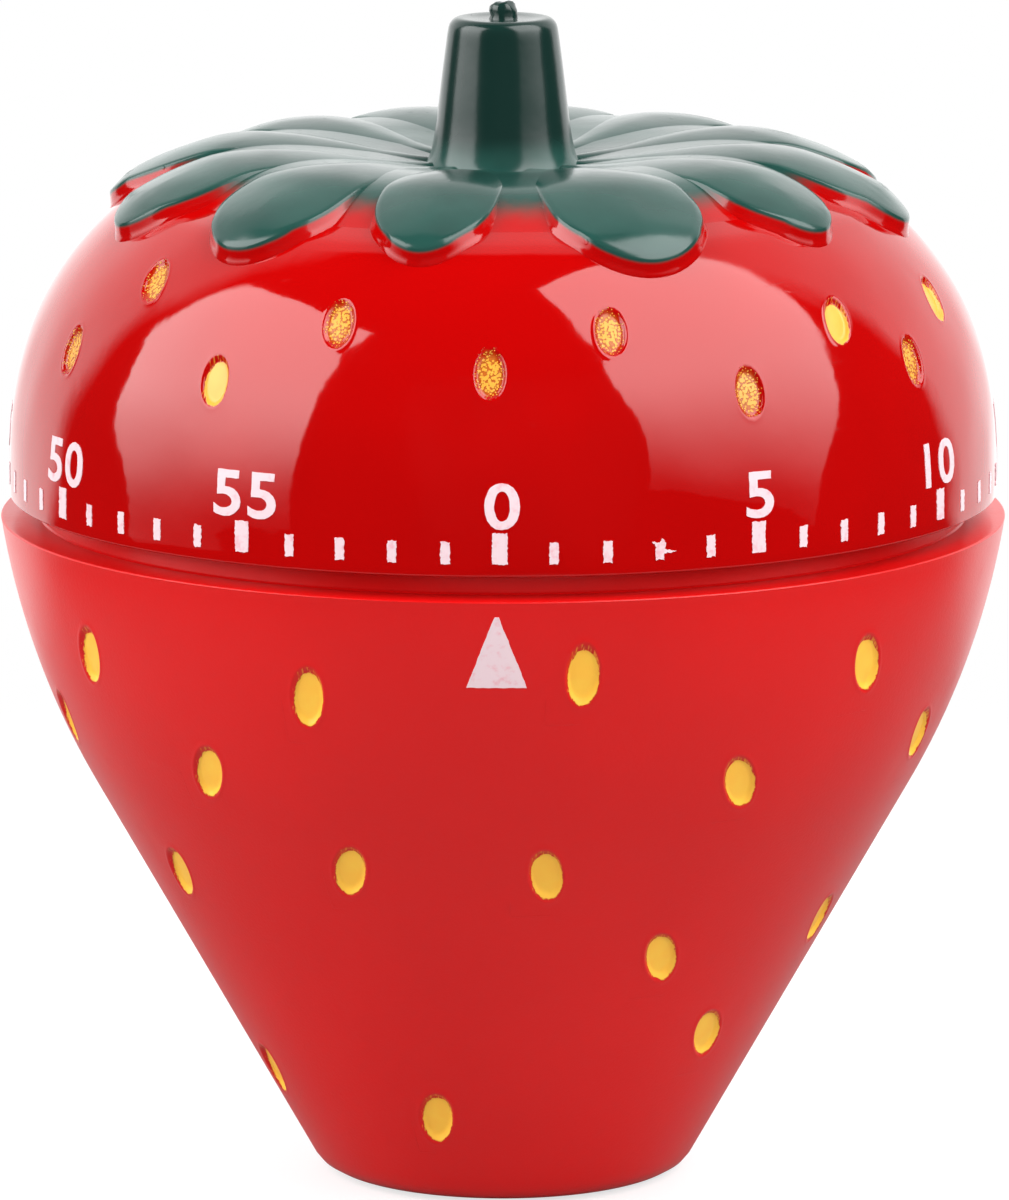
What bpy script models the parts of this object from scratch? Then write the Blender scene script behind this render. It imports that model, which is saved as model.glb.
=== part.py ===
"""A 60-minute wind-up kitchen timer in the shape of a strawberry.

The upper half of the fruit is the dial: it turns about Z on the lower half, a conical cup that
stands on a flat foot. The cup holds a clockwork movement with its bell. The origin is the centre
of the foot, +Z is up and the pointer on the cup faces -Y.
"""

import math

import bmesh
import bpy

MM = 0.001

# The cup, a cone that runs into a belly arc under the rim.
RIM_RADIUS = 31.0 * MM
RIM_HEIGHT = 41.4 * MM
RIM_CHAMFER = 0.3 * MM
BELLY_RADIUS = 48.3 * MM
BELLY_CENTRE_HEIGHT = 48.5 * MM
CONE_ANGLE = math.radians(29.4)
FOOT_FILLET = 2.4 * MM
CUP_WALL = 2.0 * MM
COLLAR_OUTER = 28.55 * MM
COLLAR_INNER = 27.6 * MM
COLLAR_TOP = 44.2 * MM
BOSS_ANGLES = (75.0, 180.0, 300.0)
BOSS_CIRCLE = 20.5 * MM
BOSS_RADIUS = 2.4 * MM
PILOT_RADIUS = 1.0 * MM
PILOT_DEPTH = 6.0 * MM

# The dial cap, a flattened dome whose radius follows a superellipse.
CAP_RADIUS = 30.45 * MM
CAP_EDGE = 42.5 * MM
CAP_WALL = 1.6 * MM
DOME_START = 43.3 * MM
DOME_RISE = 24.2 * MM
DOME_RISE_POWER = 2.57
DOME_RADIUS_POWER = 2.02
SHOULDER_HEIGHT = 62.6 * MM
CEILING = 60.8 * MM
CROWN = ((17.0, 63.25), (13.0, 63.5), (8.0, 63.0), (4.7, 62.5))
STEM = ((4.0, 64.2), (3.7, 67.0), (3.3, 71.2), (3.0, 71.8), (0.9, 71.8), (0.7, 72.8))
HUB_RADIUS = 3.6 * MM
HUB_LOW = 50.0 * MM
LEAF_COUNT = 12
LEAF_FIRST_ANGLE = -100.0
LEAF_CIRCLE = 14.5 * MM
LEAF_HEIGHT = 63.2 * MM
LEAF_HALF_LENGTH = 9.2 * MM
LEAF_HALF_WIDTH = 4.1 * MM
LEAF_HALF_THICKNESS = 1.1 * MM
LEAF_DROOP = math.radians(14.0)

# The stop: a rib in the cap meets a pin on the upper plate at both ends of the 59-minute scale.
STOP_CIRCLE = 21.5 * MM
STOP_WIDTH = 1.1 * MM
STOP_RIB_ANGLE = 90.0
STOP_HALF_GAP_ANGLE = 3.0
STOP_RIB_LOW = 45.0 * MM
STOP_PIN_TOP = 47.5 * MM

# The movement: two plates, and between them arbors that all stand parallel to Z.
PLATE_THICKNESS = 1.0 * MM
LOWER_PLATE = 27.0 * MM
LOWER_PLATE_RADIUS = 22.5 * MM
UPPER_PLATE = 42.4 * MM
UPPER_PLATE_RADIUS = 23.0 * MM
REST_GAP = 0.3 * MM
PIVOT_GAP = 0.15 * MM
PILLAR_ANGLES = (150.0, 262.0, 335.0)
PILLAR_CIRCLE = 19.5 * MM
PILLAR_RADIUS = 1.5 * MM
SCREW_RADIUS = 0.8 * MM
SCREW_HEAD_RADIUS = 1.6 * MM
SCREW_HEAD_HEIGHT = 1.0 * MM
SCREW_LENGTH = 3.6 * MM
SLOT_WIDTH = 0.4 * MM
SLOT_DEPTH = 0.4 * MM

# The going train. The main wheel turns with the dial, and each step up is 64 : 8 or 56 : 8.
MAIN_TEETH = 64
MAIN_MODULE = 0.4 * MM
TRAIN_TEETH = 56
TRAIN_MODULE = 0.28 * MM
PINION_TEETH = 8
WHEEL_THICKNESS = 0.8 * MM
PINION_THICKNESS = 1.4 * MM
SECOND_ANGLE = 20.0
THIRD_CIRCLE = 14.2 * MM
RING_ANGLE = 200.0
MAIN_WHEEL = 34.6 * MM
SECOND_WHEEL = 36.5 * MM
THIRD_WHEEL = 38.2 * MM
ESCAPE_WHEEL = 40.0 * MM
RING_WHEEL = 38.0 * MM
ARBOR_RADIUS = 0.55 * MM
MAIN_ARBOR_RADIUS = 1.8 * MM
SPINDLE_RADIUS = 1.5 * MM
SPINDLE_TOP = 56.0 * MM
SPINDLE_FLAT = 1.0 * MM
ESCAPE_TEETH = 20
ESCAPE_RADIUS = 4.4 * MM
RING_TEETH = 10
RING_RADIUS = 4.5 * MM

# The mainspring, its post, and the ratchet with its click under the main wheel.
SPRING_LOW = 29.0 * MM
SPRING_HEIGHT = 4.0 * MM
SPRING_STRIP = 0.35 * MM
SPRING_INNER = 2.2 * MM
SPRING_OUTER = 12.9 * MM
SPRING_TURNS = 6.5
SPRING_END_ANGLE = 300.0
SPRING_POST_CIRCLE = 14.2 * MM
SPRING_POST_RADIUS = 0.9 * MM
RATCHET_TEETH = 18
RATCHET_RADIUS = 4.5 * MM
RATCHET_DEPTH = 0.7 * MM
RATCHET_LOW = 33.4 * MM
CLICK_CIRCLE = 8.2 * MM
CLICK_ANGLE = 130.0

# The balance with its pallet anchor, and the hammer with the bell.
BALANCE_CIRCLE = 15.5 * MM
BALANCE_ANGLE = 118.0
BALANCE_RADIUS = 5.4 * MM
BALANCE_LOW = 37.0 * MM
HAMMER_CIRCLE = 16.0 * MM
HAMMER_ANGLE = 226.0
HAMMER_STAFF_RADIUS = 0.9 * MM
HAMMER_STAFF_LOW = 19.7 * MM
HAMMER_STAFF_TOP = 46.0 * MM
HAMMER_ARM_LOW = 20.0 * MM
HAMMER_ARM_LENGTH = 6.0 * MM
HAMMER_ARM_ANGLE = 339.3
HAMMER_HEAD_RADIUS = 1.3 * MM
HAMMER_HEAD_LOW = 17.3 * MM
HAMMER_HEAD_HEIGHT = 2.4 * MM
BELL_RIM = 15.5 * MM
BELL_CROWN = 24.0 * MM
BELL_RADIUS = 13.0 * MM
BELL_WALL = 0.9 * MM
BELL_POST_RADIUS = 2.2 * MM

# The alarm work on top of the upper plate.
CAM_LOW = 44.4 * MM
CAM_RADIUS = 6.5 * MM
CAM_NOTCH_RADIUS = 4.6 * MM
CAM_NOTCH = (250.0, 305.0)
LEVER_PIVOT = (7.0 * MM, -13.0 * MM)
LEVER_POST_RADIUS = 1.0 * MM

SHELL_STEPS = 40
SMALL_STEPS = 12

RED_GLOSS = ("red_gloss", (0.60, 0.004, 0.006), 0.12, 0.0)
RED_SATIN = ("red_satin", (0.55, 0.014, 0.016), 0.38, 0.0)
STEEL = ("steel", (0.50, 0.50, 0.51), 0.30, 1.0)
BRASS = ("brass", (0.70, 0.48, 0.18), 0.28, 1.0)
BELL_METAL = ("bell_metal", (0.72, 0.71, 0.68), 0.16, 1.0)


def clear_scene():
    for old in list(bpy.data.objects):
        bpy.data.objects.remove(old, do_unlink=True)


def new_collection(name):
    collection = bpy.data.collections.new(name)
    bpy.context.scene.collection.children.link(collection)
    return collection


def material(finish):
    name, colour, roughness, metallic = finish
    if name in bpy.data.materials:
        return bpy.data.materials[name]
    made = bpy.data.materials.new(name)
    made.use_nodes = True
    made.diffuse_color = (*colour, 1.0)
    shader = made.node_tree.nodes["Principled BSDF"]
    shader.inputs["Base Color"].default_value = (*colour, 1.0)
    shader.inputs["Roughness"].default_value = roughness
    shader.inputs["Metallic"].default_value = metallic
    return made


def place(name, data, finish, location):
    """An object in the timer's collection or, with no finish, a hidden cutter."""
    made = bpy.data.objects.new(name, data)
    made.location = location
    if finish:
        bpy.data.collections["kitchen_timer"].objects.link(made)
        data.materials.append(material(finish))
    else:
        bpy.data.collections["cutters"].objects.link(made)
        made.hide_render = True
        made.display_type = "WIRE"
    return made


def on_circle(radius, degrees, centre=(0.0, 0.0)):
    turn = math.radians(degrees)
    return (centre[0] + radius * math.cos(turn), centre[1] + radius * math.sin(turn))


def circle_loop(radius, steps, centre=(0.0, 0.0)):
    return [on_circle(radius, 360.0 * step / steps, centre) for step in range(steps)]


def turned(name, outline, finish, axis=(0.0, 0.0), steps=SMALL_STEPS):
    """A solid of revolution about Z. The outline of (radius, height) runs down its outer side."""
    closed = outline[0][0] > 0.0
    edges = [(i, i + 1) for i in range(len(outline) - 1)]
    if closed:
        edges.append((len(outline) - 1, 0))
    mesh = bpy.data.meshes.new(name)
    mesh.from_pydata([(radius, 0.0, height) for radius, height in outline], edges, [])
    made = place(name, mesh, finish, (*axis, 0.0))
    screw = made.modifiers.new("Turn", "SCREW")
    screw.steps = steps
    screw.render_steps = steps
    screw.use_smooth_shade = True
    screw.use_merge_vertices = True
    screw.merge_threshold = 0.001 * MM
    return made


def cylinder(name, radius, low, high, finish, axis=(0.0, 0.0), steps=SMALL_STEPS):
    return turned(name, [(0.0, high), (radius, high), (radius, low), (0.0, low)], finish, axis, steps)


def flat_piece(name, loops, low, thickness, finish, location=(0.0, 0.0)):
    """A flat piece from an outline and the outlines of its holes, parallel to XY."""
    curve = bpy.data.curves.new(name, "CURVE")
    curve.dimensions = "2D"
    curve.fill_mode = "BOTH"
    curve.extrude = thickness / 2
    for loop in loops:
        spline = curve.splines.new("POLY")
        spline.points.add(len(loop) - 1)
        for point, (x, y) in zip(spline.points, loop):
            point.co = (x, y, 0.0, 1.0)
        spline.use_cyclic_u = True
    return place(name, curve, finish, (*location, low + thickness / 2))


def wire(name, points, radius, finish):
    """A round wire through these points, with flat ends."""
    curve = bpy.data.curves.new(name, "CURVE")
    curve.dimensions = "3D"
    curve.bevel_depth = radius
    curve.bevel_resolution = 2
    curve.use_fill_caps = True
    spline = curve.splines.new("POLY")
    spline.points.add(len(points) - 1)
    for point, place_of_point in zip(spline.points, points):
        point.co = (*place_of_point, 1.0)
    return place(name, curve, finish, (0.0, 0.0, 0.0))


def box(name, low, high, turn=0.0):
    """A hidden box between two corners, turned about Z."""
    bpy.ops.mesh.primitive_cube_add(size=1.0)
    made = bpy.context.object
    made.name = name
    size = [b - a for a, b in zip(low, high)]
    middle = [(a + b) / 2 for a, b in zip(low, high)]
    for vertex in made.data.vertices:
        vertex.co = [m + c * s for m, c, s in zip(middle, vertex.co, size)]
    made.rotation_euler.z = math.radians(turn)
    return hide_as_cutter(made)


def hide_as_cutter(made):
    """Moves a primitive to the cutters' collection."""
    for collection in made.users_collection:
        collection.objects.unlink(made)
    bpy.data.collections["cutters"].objects.link(made)
    made.hide_render = True
    made.display_type = "WIRE"
    return made


def combine(target, operation, other, solver="EXACT"):
    boolean = target.modifiers.new(other.name, "BOOLEAN")
    boolean.operation = operation
    boolean.solver = solver
    boolean.object = other
    return target


def belly_outline(inset, top):
    """The cup's side from a height down to the middle of its foot, moved inwards by the inset."""
    radius = BELLY_RADIUS - inset
    centre_x = RIM_RADIUS - math.sqrt(BELLY_RADIUS**2 - (BELLY_CENTRE_HEIGHT - RIM_HEIGHT) ** 2)
    first = math.asin((BELLY_CENTRE_HEIGHT - top) / radius)
    steps = 7
    points = []
    for step in range(steps + 1):
        angle = first + (CONE_ANGLE - first) * step / steps
        points.append(
            (centre_x + radius * math.cos(angle), BELLY_CENTRE_HEIGHT - radius * math.sin(angle))
        )
    reach = BELLY_RADIUS - FOOT_FILLET + (FOOT_FILLET - BELLY_CENTRE_HEIGHT) * math.sin(CONE_ANGLE)
    fillet_x = centre_x + reach / math.cos(CONE_ANGLE)
    fillet = FOOT_FILLET - inset
    for step in range(4):
        angle = CONE_ANGLE + (math.pi / 2 - CONE_ANGLE) * step / 3
        points.append((fillet_x + fillet * math.cos(angle), FOOT_FILLET - fillet * math.sin(angle)))
    points.append((0.0, inset))
    return points


def belly_top(inset, radius_wanted):
    """The height at which the inset side of the cup reaches a radius."""
    radius = BELLY_RADIUS - inset
    centre_x = RIM_RADIUS - math.sqrt(BELLY_RADIUS**2 - (BELLY_CENTRE_HEIGHT - RIM_HEIGHT) ** 2)
    return BELLY_CENTRE_HEIGHT - math.sqrt(radius**2 - (radius_wanted - centre_x) ** 2)


def base_cup():
    outer = belly_outline(0.0, RIM_HEIGHT - RIM_CHAMFER)
    inner = belly_outline(CUP_WALL, belly_top(CUP_WALL, COLLAR_INNER))
    collar = [
        (COLLAR_INNER, COLLAR_TOP),
        (COLLAR_OUTER, COLLAR_TOP),
        (COLLAR_OUTER, RIM_HEIGHT),
        (RIM_RADIUS - RIM_CHAMFER, RIM_HEIGHT),
    ]
    # The inner side runs up from the floor's middle, so the outline starts there on the axis.
    cup = turned("base_cup", inner[::-1] + collar + outer, RED_SATIN, steps=SHELL_STEPS)
    envelope = turned(
        "cup_envelope",
        [(0.0, RIM_HEIGHT)] + belly_outline(CUP_WALL / 2, RIM_HEIGHT),
        None,
        steps=SHELL_STEPS,
    )
    boss_top = LOWER_PLATE - REST_GAP
    for number, angle in enumerate(BOSS_ANGLES, 1):
        axis = on_circle(BOSS_CIRCLE, angle)
        boss = cylinder(f"boss_{number}", BOSS_RADIUS, FOOT_FILLET, boss_top, None, axis, 16)
        combine(cup, "UNION", combine(boss, "INTERSECT", envelope))
        low = boss_top - PILOT_DEPTH
        pilot = cylinder(f"pilot_{number}", PILOT_RADIUS, low, boss_top + MM, None, axis)
        combine(cup, "DIFFERENCE", pilot)
    return cup


def dome_radius(height, inset=0.0):
    rise = min(max((height - DOME_START) / (DOME_RISE - inset), 0.0), 1.0)
    return (CAP_RADIUS - inset) * (1.0 - rise**DOME_RISE_POWER) ** (1.0 / DOME_RADIUS_POWER)


def dome_outline(inset, top, bottom):
    """The dome's side from a height down to its edge, closer together where it bends more."""
    steps = 9
    points = []
    for step in range(steps + 1):
        height = DOME_START + (top - DOME_START) * math.sin(math.pi / 2 * (1.0 - step / steps))
        points.append((dome_radius(height, inset), height))
    points.append((CAP_RADIUS - inset, bottom))
    return points


def leaf(number):
    angle = LEAF_FIRST_ANGLE + 360.0 / LEAF_COUNT * number
    bpy.ops.mesh.primitive_uv_sphere_add(segments=10, ring_count=6, radius=1.0)
    made = bpy.context.object
    made.name = f"leaf_{number + 1}"
    made.scale = (LEAF_HALF_LENGTH, LEAF_HALF_WIDTH, LEAF_HALF_THICKNESS)
    made.rotation_euler = (0.0, LEAF_DROOP, math.radians(angle))
    made.location = (*on_circle(LEAF_CIRCLE, angle), LEAF_HEIGHT)
    return hide_as_cutter(made)


def dial_cap():
    """Dome, leaves and stem are one moulding, with a hub inside that sits on the spindle."""
    stem = [(radius * MM, height * MM) for radius, height in STEM]
    crown = [(radius * MM, height * MM) for radius, height in CROWN]
    outside = [(0.0, stem[-1][1])] + stem[::-1] + crown[::-1]
    outside += dome_outline(0.0, SHOULDER_HEIGHT, CAP_EDGE)
    inside = dome_outline(CAP_WALL, CEILING, CAP_EDGE)[::-1]
    hub = [(HUB_RADIUS, CEILING), (HUB_RADIUS, HUB_LOW), (0.0, HUB_LOW)]
    cap = turned("dial_cap", outside + inside + hub, RED_GLOSS, steps=SHELL_STEPS)
    for number in range(LEAF_COUNT):
        combine(cap, "UNION", leaf(number), "MANIFOLD")
    envelope_top = [(0.0, SHOULDER_HEIGHT - CAP_WALL / 2)]
    envelope = dome_outline(CAP_WALL / 2, SHOULDER_HEIGHT - CAP_WALL / 2, CAP_EDGE)
    shape = turned(
        "cap_envelope", envelope_top + envelope + [(0.0, CAP_EDGE)], None, steps=SHELL_STEPS
    )
    rib = box(
        "stop_rib",
        (STOP_CIRCLE - 2.0 * MM, -STOP_WIDTH / 2, STOP_RIB_LOW),
        (CAP_RADIUS, STOP_WIDTH / 2, SHOULDER_HEIGHT),
        STOP_RIB_ANGLE,
    )
    combine(cap, "UNION", combine(rib, "INTERSECT", shape), "MANIFOLD")
    bore_radius = SPINDLE_RADIUS + PIVOT_GAP
    bore = cylinder("hub_bore", bore_radius, HUB_LOW - MM, SPINDLE_TOP + REST_GAP, None, steps=16)
    low = (-2 * MM, SPINDLE_FLAT + PIVOT_GAP, HUB_LOW - 2 * MM)
    flat = box("hub_bore_flat", low, (2 * MM, 3 * MM, SPINDLE_TOP + MM))
    combine(bore, "DIFFERENCE", flat)
    combine(cap, "DIFFERENCE", bore, "MANIFOLD")
    return cap


def axes():
    """Where each arbor stands, as (x, y)."""
    first_reach = MAIN_MODULE * (MAIN_TEETH + PINION_TEETH) / 2
    reach = TRAIN_MODULE * (TRAIN_TEETH + PINION_TEETH) / 2
    cosine = (first_reach**2 + THIRD_CIRCLE**2 - reach**2) / (2 * first_reach * THIRD_CIRCLE)
    third_angle = SECOND_ANGLE + math.degrees(math.acos(cosine))
    escape_angle = third_angle + 2 * math.degrees(math.asin(reach / (2 * THIRD_CIRCLE)))
    return {
        "main": (0.0, 0.0),
        "second": on_circle(first_reach, SECOND_ANGLE),
        "third": on_circle(THIRD_CIRCLE, third_angle),
        "escape": on_circle(THIRD_CIRCLE, escape_angle),
        "balance": on_circle(BALANCE_CIRCLE, BALANCE_ANGLE),
        "ring": on_circle(first_reach, RING_ANGLE),
        "hammer": on_circle(HAMMER_CIRCLE, HAMMER_ANGLE),
    }


def screw(name, axis, head_low, shank_to, finish, head_radius=SCREW_HEAD_RADIUS, radius=SCREW_RADIUS):
    """A slotted screw. Its shank runs up or down from the head to a height."""
    head_top = head_low + SCREW_HEAD_HEIGHT
    if shank_to < head_low:
        outline = [(0.0, head_top), (head_radius, head_top), (head_radius, head_low)]
        outline += [(radius, head_low), (radius, shank_to), (0.0, shank_to)]
        slot_low, slot_high = head_top - SLOT_DEPTH, head_top + SLOT_DEPTH
    else:
        outline = [(0.0, shank_to), (radius, shank_to), (radius, head_top)]
        outline += [(head_radius, head_top), (head_radius, head_low), (0.0, head_low)]
        slot_low, slot_high = head_low - SLOT_DEPTH, head_low + SLOT_DEPTH
    made = turned(name, outline, finish, axis)
    slot = box(
        f"{name}_slot",
        (-2 * head_radius, -SLOT_WIDTH / 2, slot_low),
        (2 * head_radius, SLOT_WIDTH / 2, slot_high),
    )
    slot.location = (*axis, 0.0)
    slot.rotation_euler.z = math.radians(20.0)
    return combine(made, "DIFFERENCE", slot)


def plates(axis):
    """Both plates, with a hole for each pivot, spindle and screw."""
    arbor_hole = ARBOR_RADIUS + PIVOT_GAP
    screw_hole = SCREW_RADIUS + PIVOT_GAP
    small = [axis[name] for name in ("second", "third", "escape", "balance", "ring")]
    holes = [circle_loop(arbor_hole, SMALL_STEPS, centre) for centre in small]
    holes.append(circle_loop(HAMMER_STAFF_RADIUS + PIVOT_GAP, SMALL_STEPS, axis["hammer"]))
    for angle in PILLAR_ANGLES:
        holes.append(circle_loop(screw_hole, SMALL_STEPS, on_circle(PILLAR_CIRCLE, angle)))
    centre_hole = circle_loop(SPINDLE_RADIUS + PIVOT_GAP, 16)
    loops = [circle_loop(UPPER_PLATE_RADIUS, SHELL_STEPS), centre_hole] + holes
    flat_piece("upper_plate", loops, UPPER_PLATE, PLATE_THICKNESS, BRASS)
    for angle in BOSS_ANGLES:
        holes.append(circle_loop(screw_hole, SMALL_STEPS, on_circle(BOSS_CIRCLE, angle)))
    loops = [circle_loop(LOWER_PLATE_RADIUS, SHELL_STEPS), centre_hole] + holes
    flat_piece("lower_plate", loops, LOWER_PLATE, PLATE_THICKNESS, BRASS)


def pillars_and_screws():
    low = LOWER_PLATE + PLATE_THICKNESS + REST_GAP
    high = UPPER_PLATE - REST_GAP
    hole = SCREW_RADIUS + PIVOT_GAP
    depth = SCREW_LENGTH
    outline = [(0.0, high - depth), (hole, high - depth), (hole, high), (PILLAR_RADIUS, high)]
    outline += [(PILLAR_RADIUS, low), (hole, low), (hole, low + depth), (0.0, low + depth)]
    over = UPPER_PLATE + PLATE_THICKNESS + REST_GAP
    under = LOWER_PLATE - REST_GAP - SCREW_HEAD_HEIGHT
    for number, angle in enumerate(PILLAR_ANGLES, 1):
        axis = on_circle(PILLAR_CIRCLE, angle)
        turned(f"pillar_{number}", outline, STEEL, axis)
        screw(f"upper_pillar_screw_{number}", axis, over, high - SCREW_LENGTH / 2, STEEL)
        screw(f"lower_pillar_screw_{number}", axis, under, low + SCREW_LENGTH / 2, STEEL)
    seat = LOWER_PLATE + PLATE_THICKNESS + REST_GAP
    for number, angle in enumerate(BOSS_ANGLES, 1):
        axis = on_circle(BOSS_CIRCLE, angle)
        end = LOWER_PLATE - PILOT_DEPTH + REST_GAP
        screw(f"mounting_screw_{number}", axis, seat, end, STEEL, 2.0 * MM)


def gear_loop(teeth, module, first, addendum, root_share, tip_share):
    """The outline of a gear whose first tooth is centred on an angle. Shares are of one pitch."""
    pitch = 360.0 / teeth
    radius = module * teeth / 2
    root = radius - 1.2 * module
    tip = radius + addendum * module
    points = []
    for tooth in range(teeth):
        centre = first + pitch * tooth
        for share, reach in ((-root_share, root), (-tip_share, tip), (tip_share, tip), (root_share, root)):
            points.append(on_circle(reach, centre + pitch * share / 2))
    return points


def wheel(name, teeth, module, first, low, axis, bore):
    outline = gear_loop(teeth, module, first, 0.85, 0.50, 0.14)
    hole = circle_loop(bore, SMALL_STEPS)
    return flat_piece(name, [outline, hole], low, WHEEL_THICKNESS, BRASS, axis)


def arbor(name, axis, radius=ARBOR_RADIUS, low=LOWER_PLATE, high=UPPER_PLATE + PLATE_THICKNESS):
    """An arbor whose thin pivots run in the plates."""
    shoulder_low = LOWER_PLATE + PLATE_THICKNESS + REST_GAP
    shoulder_high = UPPER_PLATE - REST_GAP
    outline = [(0.0, high), (ARBOR_RADIUS, high), (ARBOR_RADIUS, shoulder_high)]
    outline += [(radius, shoulder_high), (radius, shoulder_low)]
    outline += [(ARBOR_RADIUS, shoulder_low), (ARBOR_RADIUS, low), (0.0, low)]
    return turned(name, outline, STEEL, axis, 10)


def pinion_arbor(name, axis, module, first, low):
    """An arbor with its pinion cut from the same bar."""
    made = arbor(name, axis, 0.7 * MM)
    outline = gear_loop(PINION_TEETH, module, first, 0.75, 0.44, 0.14)
    curve = flat_piece(f"{name}_outline", [outline], low, PINION_THICKNESS, None, axis)
    bpy.context.view_layer.update()
    graph = bpy.context.evaluated_depsgraph_get()
    mesh = bpy.data.meshes.new_from_object(curve.evaluated_get(graph))
    leaves = place(f"{name}_leaves", mesh, None, curve.location)
    weld(mesh)
    bpy.data.objects.remove(curve)
    return combine(made, "UNION", leaves)


def weld(mesh):
    grid = bmesh.new()
    grid.from_mesh(mesh)
    bmesh.ops.remove_doubles(grid, verts=grid.verts, dist=0.001 * MM)
    bmesh.ops.recalc_face_normals(grid, faces=grid.faces)
    grid.to_mesh(mesh)
    grid.free()


def angle_from(start, end):
    return math.degrees(math.atan2(end[1] - start[1], end[0] - start[0]))


def pinion_first(start, end):
    """The angle that puts a gap of the pinion at the end opposite the wheel at the start."""
    return angle_from(end, start) + 180.0 / PINION_TEETH


def going_train(axis):
    bore = 0.7 * MM + PIVOT_GAP
    wheel(
        "main_wheel", MAIN_TEETH, MAIN_MODULE, SECOND_ANGLE, MAIN_WHEEL, axis["main"],
        MAIN_ARBOR_RADIUS + PIVOT_GAP,
    )
    steps = (
        ("second", "main", "third", MAIN_MODULE, MAIN_WHEEL, SECOND_WHEEL),
        ("third", "second", "escape", TRAIN_MODULE, SECOND_WHEEL, THIRD_WHEEL),
    )
    for name, before, after, module, pinion_level, wheel_level in steps:
        low = pinion_level - (PINION_THICKNESS - WHEEL_THICKNESS) / 2
        first = pinion_first(axis[before], axis[name])
        pinion_arbor(f"{name}_arbor", axis[name], module, first, low)
        first = angle_from(axis[name], axis[after])
        wheel(f"{name}_wheel", TRAIN_TEETH, TRAIN_MODULE, first, wheel_level, axis[name], bore)
    low = THIRD_WHEEL - (PINION_THICKNESS - WHEEL_THICKNESS) / 2
    first = pinion_first(axis["third"], axis["escape"])
    pinion_arbor("escape_arbor", axis["escape"], TRAIN_MODULE, first, low)
    outline = saw_loop(ESCAPE_TEETH, ESCAPE_RADIUS, ESCAPE_RADIUS - 1.0 * MM, 0.0)
    loops = [outline, circle_loop(bore, SMALL_STEPS)]
    flat_piece("escape_wheel", loops, ESCAPE_WHEEL, WHEEL_THICKNESS, BRASS, axis["escape"])


def saw_loop(teeth, tip, root, first):
    """The outline of a ratchet-like wheel: each tooth has one steep side."""
    pitch = 360.0 / teeth
    points = []
    for tooth in range(teeth):
        start = first + pitch * tooth
        points.append(on_circle(root, start))
        points.append(on_circle(tip, start + 0.06 * pitch))
        points.append(on_circle(tip, start + 0.18 * pitch))
    return points


def ringing_work(axis):
    """The star wheel that kicks the hammer, the hammer on its staff, and the bell."""
    low = MAIN_WHEEL - (PINION_THICKNESS - WHEEL_THICKNESS) / 2
    pinion_arbor("ring_arbor", axis["ring"], MAIN_MODULE, pinion_first(axis["main"], axis["ring"]), low)
    outline = saw_loop(RING_TEETH, RING_RADIUS, RING_RADIUS - 1.3 * MM, 0.0)
    loops = [outline, circle_loop(0.7 * MM + PIVOT_GAP, SMALL_STEPS)]
    flat_piece("ring_wheel", loops, RING_WHEEL, WHEEL_THICKNESS, STEEL, axis["ring"])

    cylinder("hammer_staff", HAMMER_STAFF_RADIUS, HAMMER_STAFF_LOW, HAMMER_STAFF_TOP, STEEL, axis["hammer"])
    end = on_circle(HAMMER_ARM_LENGTH, HAMMER_ARM_ANGLE)
    eye = HAMMER_STAFF_RADIUS + 0.7 * MM
    hole = HAMMER_STAFF_RADIUS + 0.1 * MM
    eyed_arm("hammer_arm", axis["hammer"], end, eye, 0.9 * MM, hole, HAMMER_ARM_LOW)
    head_axis = (axis["hammer"][0] + end[0], axis["hammer"][1] + end[1])
    head_top = HAMMER_HEAD_LOW + HAMMER_HEAD_HEIGHT
    chamfer = 0.3 * MM
    outline = [(0.0, head_top), (HAMMER_HEAD_RADIUS - chamfer, head_top)]
    outline += [(HAMMER_HEAD_RADIUS, head_top - chamfer), (HAMMER_HEAD_RADIUS, HAMMER_HEAD_LOW + chamfer)]
    outline += [(HAMMER_HEAD_RADIUS - chamfer, HAMMER_HEAD_LOW), (0.0, HAMMER_HEAD_LOW)]
    turned("hammer_head", outline, BRASS, head_axis)
    lift_end = on_circle(2.0 * MM, angle_from(axis["hammer"], axis["ring"]))
    eyed_arm("hammer_lift", axis["hammer"], lift_end, eye, 0.3 * MM, hole, RING_WHEEL)
    stop_end = on_circle(2.6 * MM, -15.0)
    eyed_arm("hammer_stop", axis["hammer"], stop_end, eye, 0.4 * MM, hole, CAM_LOW)
    bell()


def eyed_arm(name, axis, end, eye, tip_radius, hole, low):
    """A flat arm with an eye round its axis and a rounded tip at the end, which is given from the axis."""
    heading = math.degrees(math.atan2(end[1], end[0]))
    spread = math.degrees(math.acos((eye - tip_radius) / math.hypot(*end)))
    outline = []
    for step in range(9):
        outline.append(on_circle(eye, heading + spread + (360.0 - 2 * spread) * step / 8))
    for step in range(5):
        outline.append(on_circle(tip_radius, heading - spread + 2 * spread * step / 4, end))
    loops = [outline, circle_loop(hole, SMALL_STEPS)]
    return flat_piece(name, loops, low, WHEEL_THICKNESS, STEEL, axis)


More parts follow.
